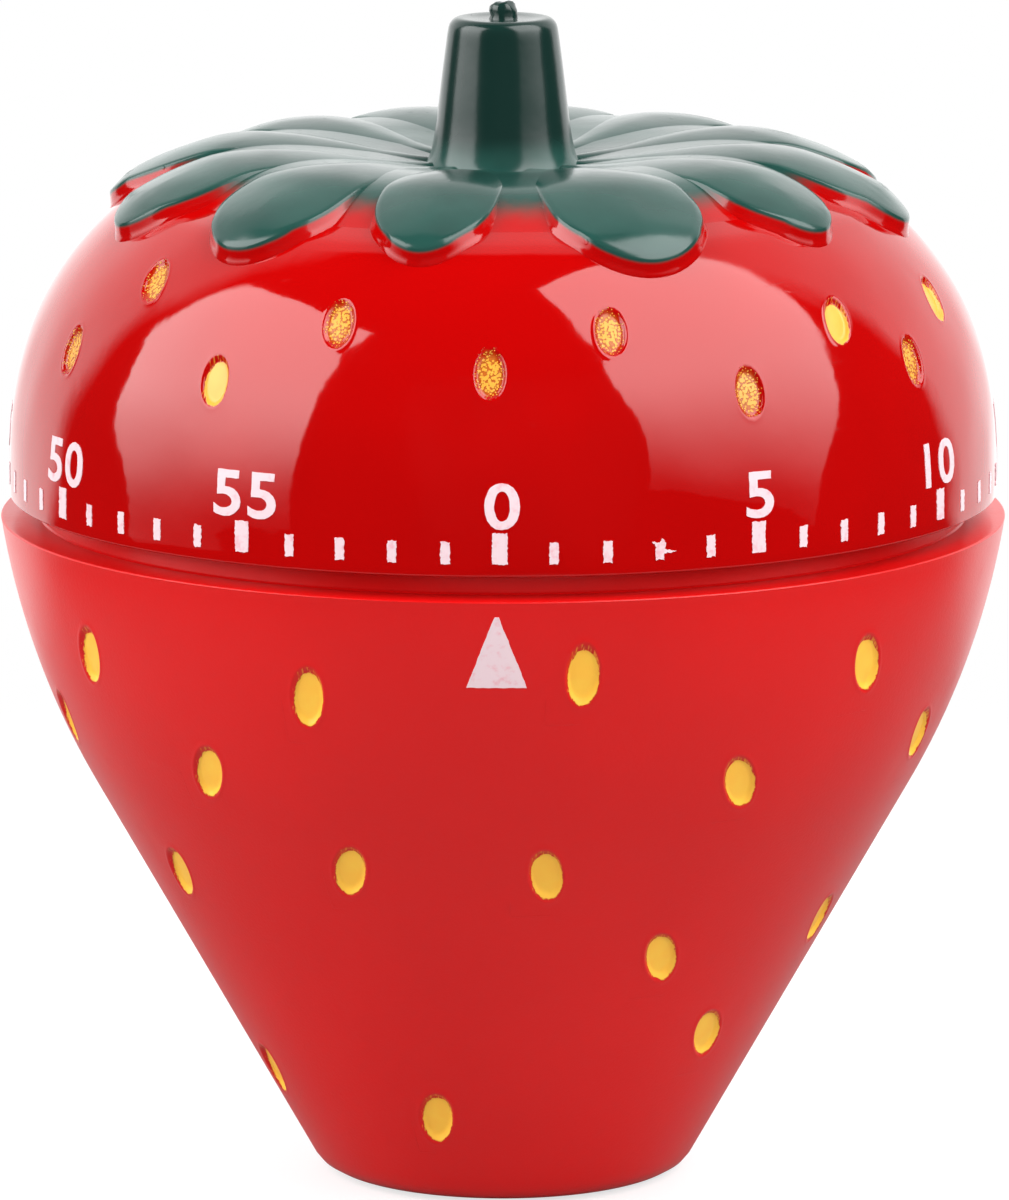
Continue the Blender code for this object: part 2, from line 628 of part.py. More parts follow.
def bell():
    """The bell hangs from the middle of the lower plate, open downwards."""
    height = BELL_CROWN - BELL_RIM
    hole = 1.3 * MM
    steps = 5
    outer = []
    inner = []
    for step in range(steps + 1):
        angle = math.pi / 2 * step / steps
        outer.append((hole + (BELL_RADIUS - hole) * math.sin(angle), BELL_RIM + height * math.cos(angle)))
        reach = BELL_RADIUS - BELL_WALL - hole
        inner.append((hole + reach * math.sin(angle), BELL_RIM + (height - BELL_WALL) * math.cos(angle)))
    turned("bell", outer + inner[::-1], BELL_METAL, steps=28)
    post_low = BELL_CROWN + REST_GAP
    post_high = LOWER_PLATE - REST_GAP
    thread = 1.0 * MM
    bore = thread + PIVOT_GAP
    bore_top = post_high - 0.5 * MM
    outline = [(0.0, post_high), (BELL_POST_RADIUS, post_high), (BELL_POST_RADIUS, post_low)]
    outline += [(bore, post_low), (bore, bore_top), (0.0, bore_top)]
    turned("bell_post", outline, STEEL, steps=16)
    head_low = BELL_CROWN - BELL_WALL - REST_GAP - SCREW_HEAD_HEIGHT
    screw("bell_screw", (0.0, 0.0), head_low, bore_top - REST_GAP, STEEL, 2.0 * MM, thread)


def spindle_and_spring(axis):
    low = LOWER_PLATE + 0.2 * MM
    shoulder_low = LOWER_PLATE + PLATE_THICKNESS + REST_GAP
    shoulder_high = UPPER_PLATE - REST_GAP
    outline = [(0.0, SPINDLE_TOP), (SPINDLE_RADIUS, SPINDLE_TOP), (SPINDLE_RADIUS, shoulder_high)]
    outline += [(MAIN_ARBOR_RADIUS, shoulder_high), (MAIN_ARBOR_RADIUS, shoulder_low)]
    outline += [(SPINDLE_RADIUS, shoulder_low), (SPINDLE_RADIUS, low), (0.0, low)]
    spindle = turned("main_arbor", outline, STEEL, steps=16)
    corner = (-2 * MM, SPINDLE_FLAT, HUB_LOW - MM)
    combine(spindle, "DIFFERENCE", box("spindle_flat", corner, (2 * MM, 3 * MM, SPINDLE_TOP + MM)))

    growth = (SPRING_OUTER - SPRING_INNER) / (360.0 * SPRING_TURNS)
    steps = int(12 * SPRING_TURNS)
    outside = []
    inside = []
    for step in range(steps + 1):
        wound = 360.0 * SPRING_TURNS * step / steps
        angle = SPRING_END_ANGLE - 360.0 * SPRING_TURNS + wound
        radius = SPRING_INNER + growth * wound
        outside.append(on_circle(radius + SPRING_STRIP / 2, angle))
        inside.append(on_circle(radius - SPRING_STRIP / 2, angle))
    flat_piece("mainspring", [outside + inside[::-1]], SPRING_LOW, SPRING_HEIGHT, STEEL)
    post = on_circle(SPRING_POST_CIRCLE, SPRING_END_ANGLE)
    post_low = LOWER_PLATE + PLATE_THICKNESS + REST_GAP
    cylinder("spring_post", SPRING_POST_RADIUS, post_low, SPRING_LOW + SPRING_HEIGHT, STEEL, post)


def click_work():
    """The ratchet on the main arbor, and the click that the main wheel carries."""
    pivot = on_circle(CLICK_CIRCLE, CLICK_ANGLE)
    root = RATCHET_RADIUS - RATCHET_DEPTH
    tip_angle = CLICK_ANGLE + 30.0
    tip = on_circle(root + 0.5 * MM, tip_angle)
    end = (tip[0] - pivot[0], tip[1] - pivot[1])
    eyed_arm("click", pivot, end, 1.0 * MM, 0.2 * MM, 0.6 * MM, RATCHET_LOW)
    cylinder("click_rivet", 0.45 * MM, RATCHET_LOW - 0.4 * MM, MAIN_WHEEL - 0.1 * MM, BRASS, pivot, 10)
    outline = saw_loop(RATCHET_TEETH, RATCHET_RADIUS, root, tip_angle + 5.0)
    bore = circle_loop(MAIN_ARBOR_RADIUS + PIVOT_GAP, SMALL_STEPS)
    flat_piece("ratchet_wheel", [outline, bore], RATCHET_LOW, WHEEL_THICKNESS, STEEL)
    level = RATCHET_LOW + WHEEL_THICKNESS / 2
    anchor = on_circle(10.2 * MM, CLICK_ANGLE + 45.0)
    knee = on_circle(8.6 * MM, CLICK_ANGLE + 28.0)
    touch = on_circle(6.25 * MM, CLICK_ANGLE + 16.0)
    top = MAIN_WHEEL - 0.1 * MM
    points = [(*anchor, top), (*anchor, level), (*knee, level), (*touch, level)]
    wire("click_spring", points, 0.15 * MM, STEEL)


def balance(axis):
    centre = axis["balance"]
    arbor("balance_staff", centre)
    bore = circle_loop(ARBOR_RADIUS + PIVOT_GAP, SMALL_STEPS)
    rim = BALANCE_RADIUS - 0.9 * MM
    loops = [circle_loop(BALANCE_RADIUS, 32), bore]
    for side in (0.0, 180.0):
        hub_arc = [on_circle(1.4 * MM, side + 40.0 + 100.0 * step / 6) for step in range(7)]
        rim_arc = [on_circle(rim, side + 165.0 - 150.0 * step / 12) for step in range(13)]
        loops.append(hub_arc + rim_arc)
    flat_piece("balance_wheel", loops, BALANCE_LOW, WHEEL_THICKNESS, BRASS, centre)
    heading = angle_from(centre, axis["escape"])
    arm = [(45.0, 1.2), (55.0, 2.45), (66.0, 2.45), (72.0, 1.1)]
    back = [(angle, 1.1) for angle in (110.0, 145.0, 180.0, 215.0, 250.0)]
    other_arm = [(360.0 - angle, reach) for angle, reach in arm[::-1]]
    corners = [(0.0, 1.1)] + arm + back + other_arm
    loop = [on_circle(reach * MM, heading + angle) for angle, reach in corners]
    flat_piece("pallet_anchor", [loop, bore], ESCAPE_WHEEL, WHEEL_THICKNESS, STEEL, centre)


def alarm_work():
    """The cam on the spindle, and the lever that drops into its notch at zero."""
    start, end = CAM_NOTCH
    outline = []
    for step in range(25):
        outline.append(on_circle(CAM_RADIUS, end + (360.0 - end + start) * step / 24))
    for step in range(5):
        outline.append(on_circle(CAM_NOTCH_RADIUS, start + (end - start) * step / 4))
    bore = circle_loop(SPINDLE_RADIUS + PIVOT_GAP, 16)
    flat_piece("alarm_cam", [outline, bore], CAM_LOW, WHEEL_THICKNESS, BRASS)

    # The lever is drawn from its pivot: a blade, an eye, and a nose that faces the cam.
    nose = -(CAM_RADIUS + REST_GAP) - LEVER_PIVOT[1]
    middle = -LEVER_PIVOT[0]
    back = -1.2 * MM
    end = -14.4 * MM
    loop = [(end, back)]
    for step in range(9):
        loop.append(on_circle(1.9 * MM, 220.0 + 280.0 * step / 8))
    loop += [(middle + 1.0 * MM, 0.8 * MM), (middle + 0.6 * MM, nose)]
    loop += [(middle - 0.6 * MM, nose), (middle - 1.2 * MM, 0.5 * MM), (end, 0.2 * MM)]
    hole = circle_loop(LEVER_POST_RADIUS + PIVOT_GAP, SMALL_STEPS)
    flat_piece("alarm_lever", [loop, hole], CAM_LOW, WHEEL_THICKNESS, STEEL, LEVER_PIVOT)
    low = UPPER_PLATE + PLATE_THICKNESS + REST_GAP
    post_top = CAM_LOW + WHEEL_THICKNESS + 0.8 * MM
    cylinder("lever_post", LEVER_POST_RADIUS, low, post_top, BRASS, LEVER_PIVOT)
    level = CAM_LOW + WHEEL_THICKNESS / 2
    points = [(10.0, -18.0, low / MM), (10.0, -18.0, level / MM), (4.0, -16.6, level / MM)]
    points.append((-2.0, -14.6, level / MM))
    wire("lever_spring", [(x * MM, y * MM, z * MM) for x, y, z in points], 0.2 * MM, STEEL)
    high = LOWER_PLATE - REST_GAP
    level = HAMMER_ARM_LOW + WHEEL_THICKNESS / 2
    points = [(-3.5, -17.5, high / MM), (-3.5, -17.5, level / MM), (-8.9, -14.0, level / MM)]
    wire("hammer_spring", [(x * MM, y * MM, z * MM) for x, y, z in points], 0.2 * MM, STEEL)


def stop_pin():
    axis = on_circle(STOP_CIRCLE, STOP_RIB_ANGLE + STOP_HALF_GAP_ANGLE)
    low = UPPER_PLATE + PLATE_THICKNESS + REST_GAP
    cylinder("stop_pin", STOP_WIDTH / 2, low, STOP_PIN_TOP, STEEL, axis)


def main():
    clear_scene()
    new_collection("kitchen_timer")
    new_collection("cutters")
    axis = axes()
    base_cup()
    dial_cap()
    plates(axis)
    pillars_and_screws()
    spindle_and_spring(axis)
    click_work()
    going_train(axis)
    balance(axis)
    ringing_work(axis)
    alarm_work()
    stop_pin()


main()
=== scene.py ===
"""Looks for a wind-up kitchen timer in the shape of a strawberry.

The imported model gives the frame. This add-on builds the moulded skins of the cup and the dial
cap with their painted seeds, the leaf crown with its stem, the printed scale and the pointer,
and it finishes the metal parts of the movement.
"""

import math
import random

import bmesh
import bpy
import numpy as np
from bpy.props import FloatProperty, FloatVectorProperty, IntProperty, PointerProperty
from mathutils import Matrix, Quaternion, Vector, noise


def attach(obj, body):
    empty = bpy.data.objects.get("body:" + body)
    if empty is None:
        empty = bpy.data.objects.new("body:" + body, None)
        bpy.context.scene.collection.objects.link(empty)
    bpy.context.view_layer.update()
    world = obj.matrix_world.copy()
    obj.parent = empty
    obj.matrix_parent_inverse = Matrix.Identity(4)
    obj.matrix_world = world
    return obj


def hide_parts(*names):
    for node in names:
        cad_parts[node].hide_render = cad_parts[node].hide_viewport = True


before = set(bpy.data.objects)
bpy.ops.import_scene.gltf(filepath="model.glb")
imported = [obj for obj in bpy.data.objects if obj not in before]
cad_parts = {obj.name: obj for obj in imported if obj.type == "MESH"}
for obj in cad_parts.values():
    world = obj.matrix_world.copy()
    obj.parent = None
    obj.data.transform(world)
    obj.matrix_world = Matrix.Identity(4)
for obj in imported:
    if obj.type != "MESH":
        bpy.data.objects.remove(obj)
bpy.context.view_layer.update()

bl_info = {
    "name": "Strawberry kitchen timer",
    "version": (1, 0, 0),
    "blender": (4, 5, 0),
    "location": "3D View > Sidebar > Timer",
    "description": "Builds the moulded, painted and printed pieces of a wind-up kitchen timer",
    "category": "Object",
}

MM = 0.001
UM = 0.000001
COLUMNS = 288
SKIN_STEP = 0.6 * MM
FAR_AWAY = 9.0

# Cup: a cone that runs into a belly arc under the rim.
RIM_RADIUS = 31.0 * MM
RIM_HEIGHT = 41.22 * MM
RIM_ROUND = 0.14 * MM
BELLY_RADIUS = 48.3 * MM
BELLY_CENTRE_HEIGHT = 48.5 * MM
CONE_ANGLE = math.radians(29.4)
BELLY_CENTRE = RIM_RADIUS - math.sqrt(BELLY_RADIUS**2 - (BELLY_CENTRE_HEIGHT - RIM_HEIGHT) ** 2)
FOOT_FILLET = 1.7 * MM
CUP_WALL = 2.0 * MM
COLLAR_OUTER = 28.55 * MM
COLLAR_INNER = 27.6 * MM
COLLAR_TOP = 44.2 * MM
COLLAR_ROUND = 0.15 * MM
BOSS_ANGLES = (75.0, 180.0, 300.0)
BOSS_CIRCLE = 20.5 * MM
BOSS_RADIUS = 2.4 * MM
BOSS_TOP = 26.7 * MM
BOSS_FOOT = 10.0 * MM
BOSS_EDGE = 0.2 * MM
PILOT_RADIUS = 1.0 * MM
PILOT_DEPTH = 6.0 * MM
# A radius that stands for the axis, so that a turned end has no loose points on it.
AXIS = 0.01 * MM

# Dial cap: a flattened dome whose radius follows a superellipse.
CAP_RADIUS = 30.45 * MM
CAP_EDGE = 42.56 * MM
CAP_WALL = 1.6 * MM
DOME_START = 43.3 * MM
DOME_RISE = 24.2 * MM
DOME_RISE_POWER = 2.57
DOME_RADIUS_POWER = 2.02
DOME_JOIN = 60.9 * MM
CEILING = 60.8 * MM
CROWN = ((3.0, 62.2), (4.7, 62.25), (8.0, 62.6), (13.0, 63.05), (17.0, 62.9), (19.6, 62.2))
HUB_RADIUS = 3.6 * MM
HUB_LOW = 50.0 * MM
HUB_BORE = 1.65 * MM
HUB_BORE_TOP = 56.3 * MM
STOP_CIRCLE = 21.5 * MM
STOP_WIDTH = 1.1 * MM
STOP_RIB_ANGLE = 90.0
STOP_RIB_LOW = 45.0 * MM
STOP_RIB_TOP = 58.0 * MM

# Leaf crown: (turn from the front, distance of the tip from the axis in mm, half width in mm).
LEAVES = (
    (-161.0, 24.1, 4.1), (-131.0, 24.0, 4.0), (-101.0, 24.3, 4.2), (-70.3, 24.4, 4.1),
    (-40.6, 24.3, 4.25), (-12.0, 23.65, 3.6), (21.2, 24.4, 4.75), (52.2, 23.75, 3.8),
    (80.0, 24.7, 4.2), (110.5, 24.2, 4.1), (140.0, 24.3, 4.1), (169.5, 23.9, 4.0),
)
LEAF_INNER = 3.6 * MM
LEAF_TAPER = 5.0 * MM
LEAF_SPINE_GAP = 3.7 * MM
# Where the leaves start to flatten towards the stem, and over what length.
LEAF_FLAT_FROM = 17.5 * MM
LEAF_FLAT_LENGTH = 9.0 * MM
# A leaf's rings from its foot over its rim: (lift, inset, spread of the skirt, paint).
LEAF_RIM = (
    (-0.30, 0.0, 1.2, 0.0), (0.02, 0.0, 1.0, 0.0), (0.16, 0.0, 0.66, 0.0), (0.40, 0.0, 0.36, 0.0),
    (0.62, 0.06, 0.14, 0.1), (0.76, 0.2, 0.04, 0.5), (0.86, 0.42, 0.0, 0.9), (0.94, 0.7, 0.0, 1.0),
    (0.99, 1.0, 0.0, 1.0),
)
LEAF_TOP = (0.08, 0.18, 0.30, 0.45, 0.62, 0.80, 0.94)
# The raised middle of the crown between the leaves: (distance from the axis, lift), in mm.
CROWN_MIDDLE = (
    (3.6, 0.55), (6.0, 0.68), (9.0, 0.79), (12.0, 0.85), (14.5, 0.85), (16.5, 0.77), (17.8, 0.63),
    (19.0, 0.42), (20.0, 0.20), (20.9, 0.04), (21.6, -0.06),
)
SPRAY_FADE = (17.2 * MM, 21.8 * MM)
LEAF_SKIRT = 0.42 * MM
SPRAY_LOW = 61.5 * MM
# Stem outline: (radius, height) in mm, from its flared foot up to its top.
STEM = (
    (5.6, 62.42), (5.2, 62.5), (4.85, 62.75), (4.55, 63.2), (4.32, 64.0), (4.12, 65.2), (3.92, 66.8),
    (3.7, 68.6), (3.48, 70.3), (3.36, 71.1), (3.24, 71.45), (3.0, 71.7), (2.7, 71.8), (2.2, 71.78),
    (1.4, 71.7), (0.0, 71.68),
)
STEM_FOOT = (5.7 * MM, 61.8 * MM)
# The broken end of the sprue on top of the stem: (radius, height) in mm.
NUB = (
    (0.01, 72.75), (0.3, 72.78), (0.56, 72.7), (0.74, 72.5), (0.8, 72.2), (0.78, 71.95),
    (0.86, 71.7), (0.9, 71.5),
)
NUB_FOOT = 71.5 * MM

# Scale and pointer.
SCALE_DIVISIONS = 60
TICK_FOOT = 43.35 * MM
TICK_MAJOR = (0.91 * MM, 1.85 * MM)
TICK_MINOR = (0.55 * MM, 1.3 * MM)
TICK_RAGGED = 0.08 * MM
SMUDGED_TICK = 3
SMUDGE = (
    (-0.3, 0.0), (-0.05, 0.07), (0.25, 0.0), (0.22, 0.38), (0.95, 0.5), (0.28, 0.66), (0.32, 1.0),
    (0.12, 1.32), (-0.05, 1.05), (-0.5, 1.12), (-0.28, 0.78), (-0.32, 0.4),
)
SCALE_TURN = -0.35
NUMBER_TURN = -0.1
NUMBER_FOOT = 45.4 * MM
NUMBER_HEIGHT = 2.75 * MM
NUMBER_BOLD = 0.018
NUMBER_STRETCH = 1.18
POINTER_TURN = -0.7
POINTER_FOOT = 35.9 * MM
POINTER_SIZE = (3.55 * MM, 4.5 * MM)
PRINT_LIFT = 0.035 * MM
PRINT_SINK = 0.03 * MM

# Seeds: (turn from the front, height in mm, lean), all in degrees but the height.
CAP_SEEDS = (
    (-64, 53.2, -8), (-53, 57.9, -25), (-36, 53.1, -6), (-21, 56.8, -5), (-1.5, 54.3, 0),
    (13.5, 56.5, 4), (30, 52.7, 3), (46.5, 56.0, 22), (58, 53.0, 10), (71, 55.8, 26),
)
CUP_SEEDS = (
    (-57, 35.2, 20), (-23, 34.8, 10), (9, 36.6, 0), (47, 35.5, -20),
    (-74, 29.7, 24), (-40, 29.0, 24), (31, 28.9, -24), (67, 29.3, -26),
    (-58, 21.0, 24), (-22, 23.3, 18), (6, 23.4, -8), (68, 17.1, -24),
    (27, 17.1, -20), (45.5, 10.9, -24), (-16, 6.0, 10), (-68, 7.1, 20),
)
SMOOTH_CAP_SEEDS = [(46.5, 56.0), (71, 55.8), (-36, 53.1)]
BACK_CAP_SEEDS = 12
BACK_CAP_HEIGHTS = (56.4, 53.0)
BACK_CUP_SEEDS = 14
BACK_CUP_HEIGHTS = (35.0, 29.2, 21.5, 34.2, 15.0, 27.5, 9.5)
SEED_RINGS = (1.28, 1.17, 1.1, 1.05, 1.0, 0.95, 0.89, 0.82, 0.74, 0.62, 0.45, 0.25)
# The block of skin that a hollow takes, against its own half width and half length.
HOLLOW_BLOCK = (1.42, 1.38)
HOLLOW_FLOOR = 0.74
RIM_PLACE = 1.07
RIM_SPREAD = 0.055
CAP_SEED_RIM = 0.015 * MM
CUP_SEED_RIM = 0.03 * MM
NO_SEED = (FAR_AWAY, FAR_AWAY, 0.0)
BRUSHED = 1.0
STIPPLED = 2.0
# The paint is a little thinner on the glossy cap than on the cup.
CAP_PAINT_SHARE = (0.92, 0.78, 0.75)
# ---- sizes and finishes


def length(name, description, default, least=0.0):
    return FloatProperty(
        name=name, description=description, default=default, min=least, unit="LENGTH",
    )


def colour(name, description, default):
    return FloatVectorProperty(
        name=name, description=description, default=default, min=0.0, max=1.0, subtype="COLOR",
    )


class TimerSizes(bpy.types.PropertyGroup):
    cap_seed_length: length("Cap seed length", "Length of a seed hollow on the dial cap", 3.3 * MM, MM)
    cap_seed_width: length("Cap seed width", "Width of a seed hollow on the dial cap", 1.95 * MM, MM)
    cup_seed_length: length("Cup seed length", "Length of a seed hollow on the cup", 4.15 * MM, MM)
    cup_seed_width: length("Cup seed width", "Width of a seed hollow on the cup", 2.15 * MM, MM)
    seed_depth: length("Seed depth", "How deep a seed hollow is in the moulding", 0.27 * MM)
    leaf_thickness: length("Leaf thickness", "How far a leaf's outer end stands off the cap", 0.85 * MM)
    leaf_crown: length("Leaf crown", "How much higher a leaf is in its middle than at its rim", 0.38 * MM)
    number_step: IntProperty(
        name="Number step", description="Minutes between two printed numbers", default=5, min=1,
    )


class TimerFinish(bpy.types.PropertyGroup):
    gloss_red: colour("Gloss red", "Colour of the dial cap", (0.43, 0.001, 0.001))
    satin_red: colour("Satin red", "Colour of the cup", (0.665, 0.004, 0.004))
    leaf_green: colour("Leaf green", "Colour of the leaves and the stem", (0.0138, 0.060, 0.0485))
    seed_yellow: colour("Seed yellow", "Colour of the paint in the seeds", (1.0, 0.57, 0.06))
    print_white: colour("Print white", "Colour of the scale and the pointer", (0.83, 0.63, 0.67))


# ---- outlines


def in_metres(pairs):
    return [(first * MM, second * MM) for first, second in pairs]


def belly_side(inset=0.0, top=RIM_HEIGHT, steps=160):
    """The cup's side as (radius, height), from a height down to the edge of the foot's fillet."""

    def arc(centre, height, radius, first, last, count):
        turns = (first + (last - first) * k / count for k in range(count + 1))
        return [(centre + radius * math.cos(a), height - radius * math.sin(a)) for a in turns]

    first = math.asin((BELLY_CENTRE_HEIGHT - top) / (BELLY_RADIUS - inset))
    reach = BELLY_RADIUS - FOOT_FILLET + (FOOT_FILLET - BELLY_CENTRE_HEIGHT) * math.sin(CONE_ANGLE)
    foot = BELLY_CENTRE + reach / math.cos(CONE_ANGLE)
    return (
        arc(BELLY_CENTRE, BELLY_CENTRE_HEIGHT, BELLY_RADIUS - inset, first, CONE_ANGLE, steps)
        + arc(foot, FOOT_FILLET, FOOT_FILLET - inset, CONE_ANGLE, math.pi / 2, 12)
    )


def belly_inner_top():
    """The height at which the cup's inner side meets the inside of the collar."""
    across = COLLAR_INNER - BELLY_CENTRE
    return BELLY_CENTRE_HEIGHT - math.sqrt((BELLY_RADIUS - CUP_WALL) ** 2 - across**2)


def dome_radius(height, inset=0.0):
    rise = min(max((height - DOME_START) / (DOME_RISE - inset), 0.0), 1.0)
    return (CAP_RADIUS - inset) * (1.0 - rise**DOME_RISE_POWER) ** (1.0 / DOME_RADIUS_POWER)


def smooth_line(points, steps):
    """A Catmull-Rom curve through the points."""
    line = []
    for i in range(1, len(points) - 2):
        a, b, c, d = (np.array(p, float) for p in points[i - 1 : i + 3])
        for step in range(steps):
            t = step / steps
            line.append(
                0.5 * (2 * b + (c - a) * t + (2 * a - 5 * b + 4 * c - d) * t**2
                       + (3 * b - a - 3 * c + d) * t**3)
            )
    line.append(np.array(points[-2], float))
    return [tuple(p) for p in line]


def dome_side(steps=150):
    """The cap's outer side as (radius, height), from under the stem down to its lower edge."""
    dome = []
    for step in range(steps + 1):
        height = DOME_START + (DOME_JOIN - DOME_START) * math.sin(math.pi / 2 * (1.0 - step / steps))
        dome.append((dome_radius(height), height))
    crown = in_metres(CROWN)
    first = (2 * crown[0][0] - crown[1][0], crown[0][1])
    joined = smooth_line([first] + crown + [dome[0], dome[12]], 10)
    edge = CAP_EDGE + RIM_ROUND
    down = [(CAP_RADIUS, DOME_START + (edge - DOME_START) * step / 6) for step in range(1, 7)]
    return joined[:-1] + dome + down


def evenly(line, step):
    """Rows at an even spacing along a fine line, as (distance along the line, radius, height)."""
    line = np.array(line, float)
    along = np.concatenate([[0.0], np.cumsum(np.hypot(*np.diff(line, axis=0).T))])
    marks = np.linspace(0.0, along[-1], max(2, round(along[-1] / step) + 1))
    return np.column_stack([marks, *(np.interp(marks, along, values) for values in line.T)])


class Side:
    """A turned surface: it gives points from a turn about Z and a distance along its outline."""

    def __init__(self, line):
        fine = evenly(line, 0.05 * MM)
        self.along, self.radius, self.height = fine.T
        slope = np.gradient(fine[:, 1:], fine[:, 0], axis=0)
        kernel = np.ones(9) / 9
        slope = np.column_stack(
            [np.convolve(np.pad(slope[:, k], 4, mode="edge"), kernel, mode="valid") for k in (0, 1)]
        )
        slope /= np.hypot(*slope.T)[:, None]
        self.out, self.up = -slope[:, 1], slope[:, 0]

    def at_height(self, height):
        """The distance along the outline at which the falling side passes a height."""
        top = int(np.argmax(self.height))
        return float(np.interp(-height, -self.height[top:], self.along[top:]))

    def at_radius(self, radius):
        """The distance along the outline at which the widening crown reaches a radius."""
        last = int(np.argmax(self.radius))
        return float(np.interp(radius, self.radius[:last], self.along[:last]))

    def reach(self, along):
        return float(np.interp(along, self.along, self.radius))

    def points(self, turn, along, lift=0.0):
        """Arrays of points from the turn in radians, the distance along and the lift off the skin."""
        along = np.asarray(along, float)
        radius = np.interp(along, self.along, self.radius) + lift * np.interp(along, self.along, self.out)
        height = np.interp(along, self.along, self.height) + lift * np.interp(along, self.along, self.up)
        return np.column_stack([radius * np.cos(turn), radius * np.sin(turn), height])


def world_turn(front_degrees):
    """From a turn in degrees from the front, to the right, to an angle about Z in radians."""
    return math.radians(front_degrees - 90.0)


# ---- mesh helpers


def smoothstep(low, high, value):
    share = np.clip((value - low) / (high - low), 0.0, 1.0)
    return share * share * (3.0 - 2.0 * share)
def spray_at(reach):
    """The share of green spray at a distance from the axis."""
    return 1.0 - smoothstep(*SPRAY_FADE, reach)


def new_object(name, points, faces, finishes, vectors=None, floats=None, smooth=True):
    mesh = bpy.data.meshes.new(name)
    mesh.from_pydata([tuple(p) for p in points], [], [tuple(f) for f in faces])
    mesh.polygons.foreach_set("use_smooth", [smooth] * len(mesh.polygons))
    for key, values in (vectors or {}).items():
        attribute = mesh.attributes.new(key, "FLOAT_VECTOR", "POINT")
        attribute.data.foreach_set("vector", np.asarray(values, np.float32).ravel())
    for key, values in (floats or {}).items():
        attribute = mesh.attributes.new(key, "FLOAT", "POINT")
        attribute.data.foreach_set("value", np.asarray(values, np.float32))
    for finish in finishes:
        mesh.materials.append(finish)
    mesh.update()
    made = bpy.data.objects.new(name, mesh)
    bpy.context.scene.collection.objects.link(made)
    return made


def join_parts(parts):
    """One list of points and faces from several."""
    points, faces = [], []
    for part_points, part_faces in parts:
        start = len(points)
        points += [tuple(p) for p in part_points]
        faces += [tuple(start + i for i in face) for face in part_faces]
    return points, faces

def grid_faces(rows, columns, wrap=True):
    """The faces between neighbouring rows of points."""
    faces = []
    for row in range(rows - 1):
        for column in range(columns if wrap else columns - 1):
            a, b = row * columns + column, row * columns + (column + 1) % columns
            faces.append((a, a + columns, b + columns, b))
    return faces


def turned_part(outline, columns, centre=(0.0, 0.0)):
    """Points and faces of a turned skin. The outline of (radius, height) runs down its outer side."""
    points = []
    for radius, height in outline:
        for i in range(columns):
            turn = 2 * math.pi * i / columns
            x, y = centre[0] + radius * math.cos(turn), centre[1] + radius * math.sin(turn)
            points.append((x, y, height))
    return points, grid_faces(len(outline), columns)


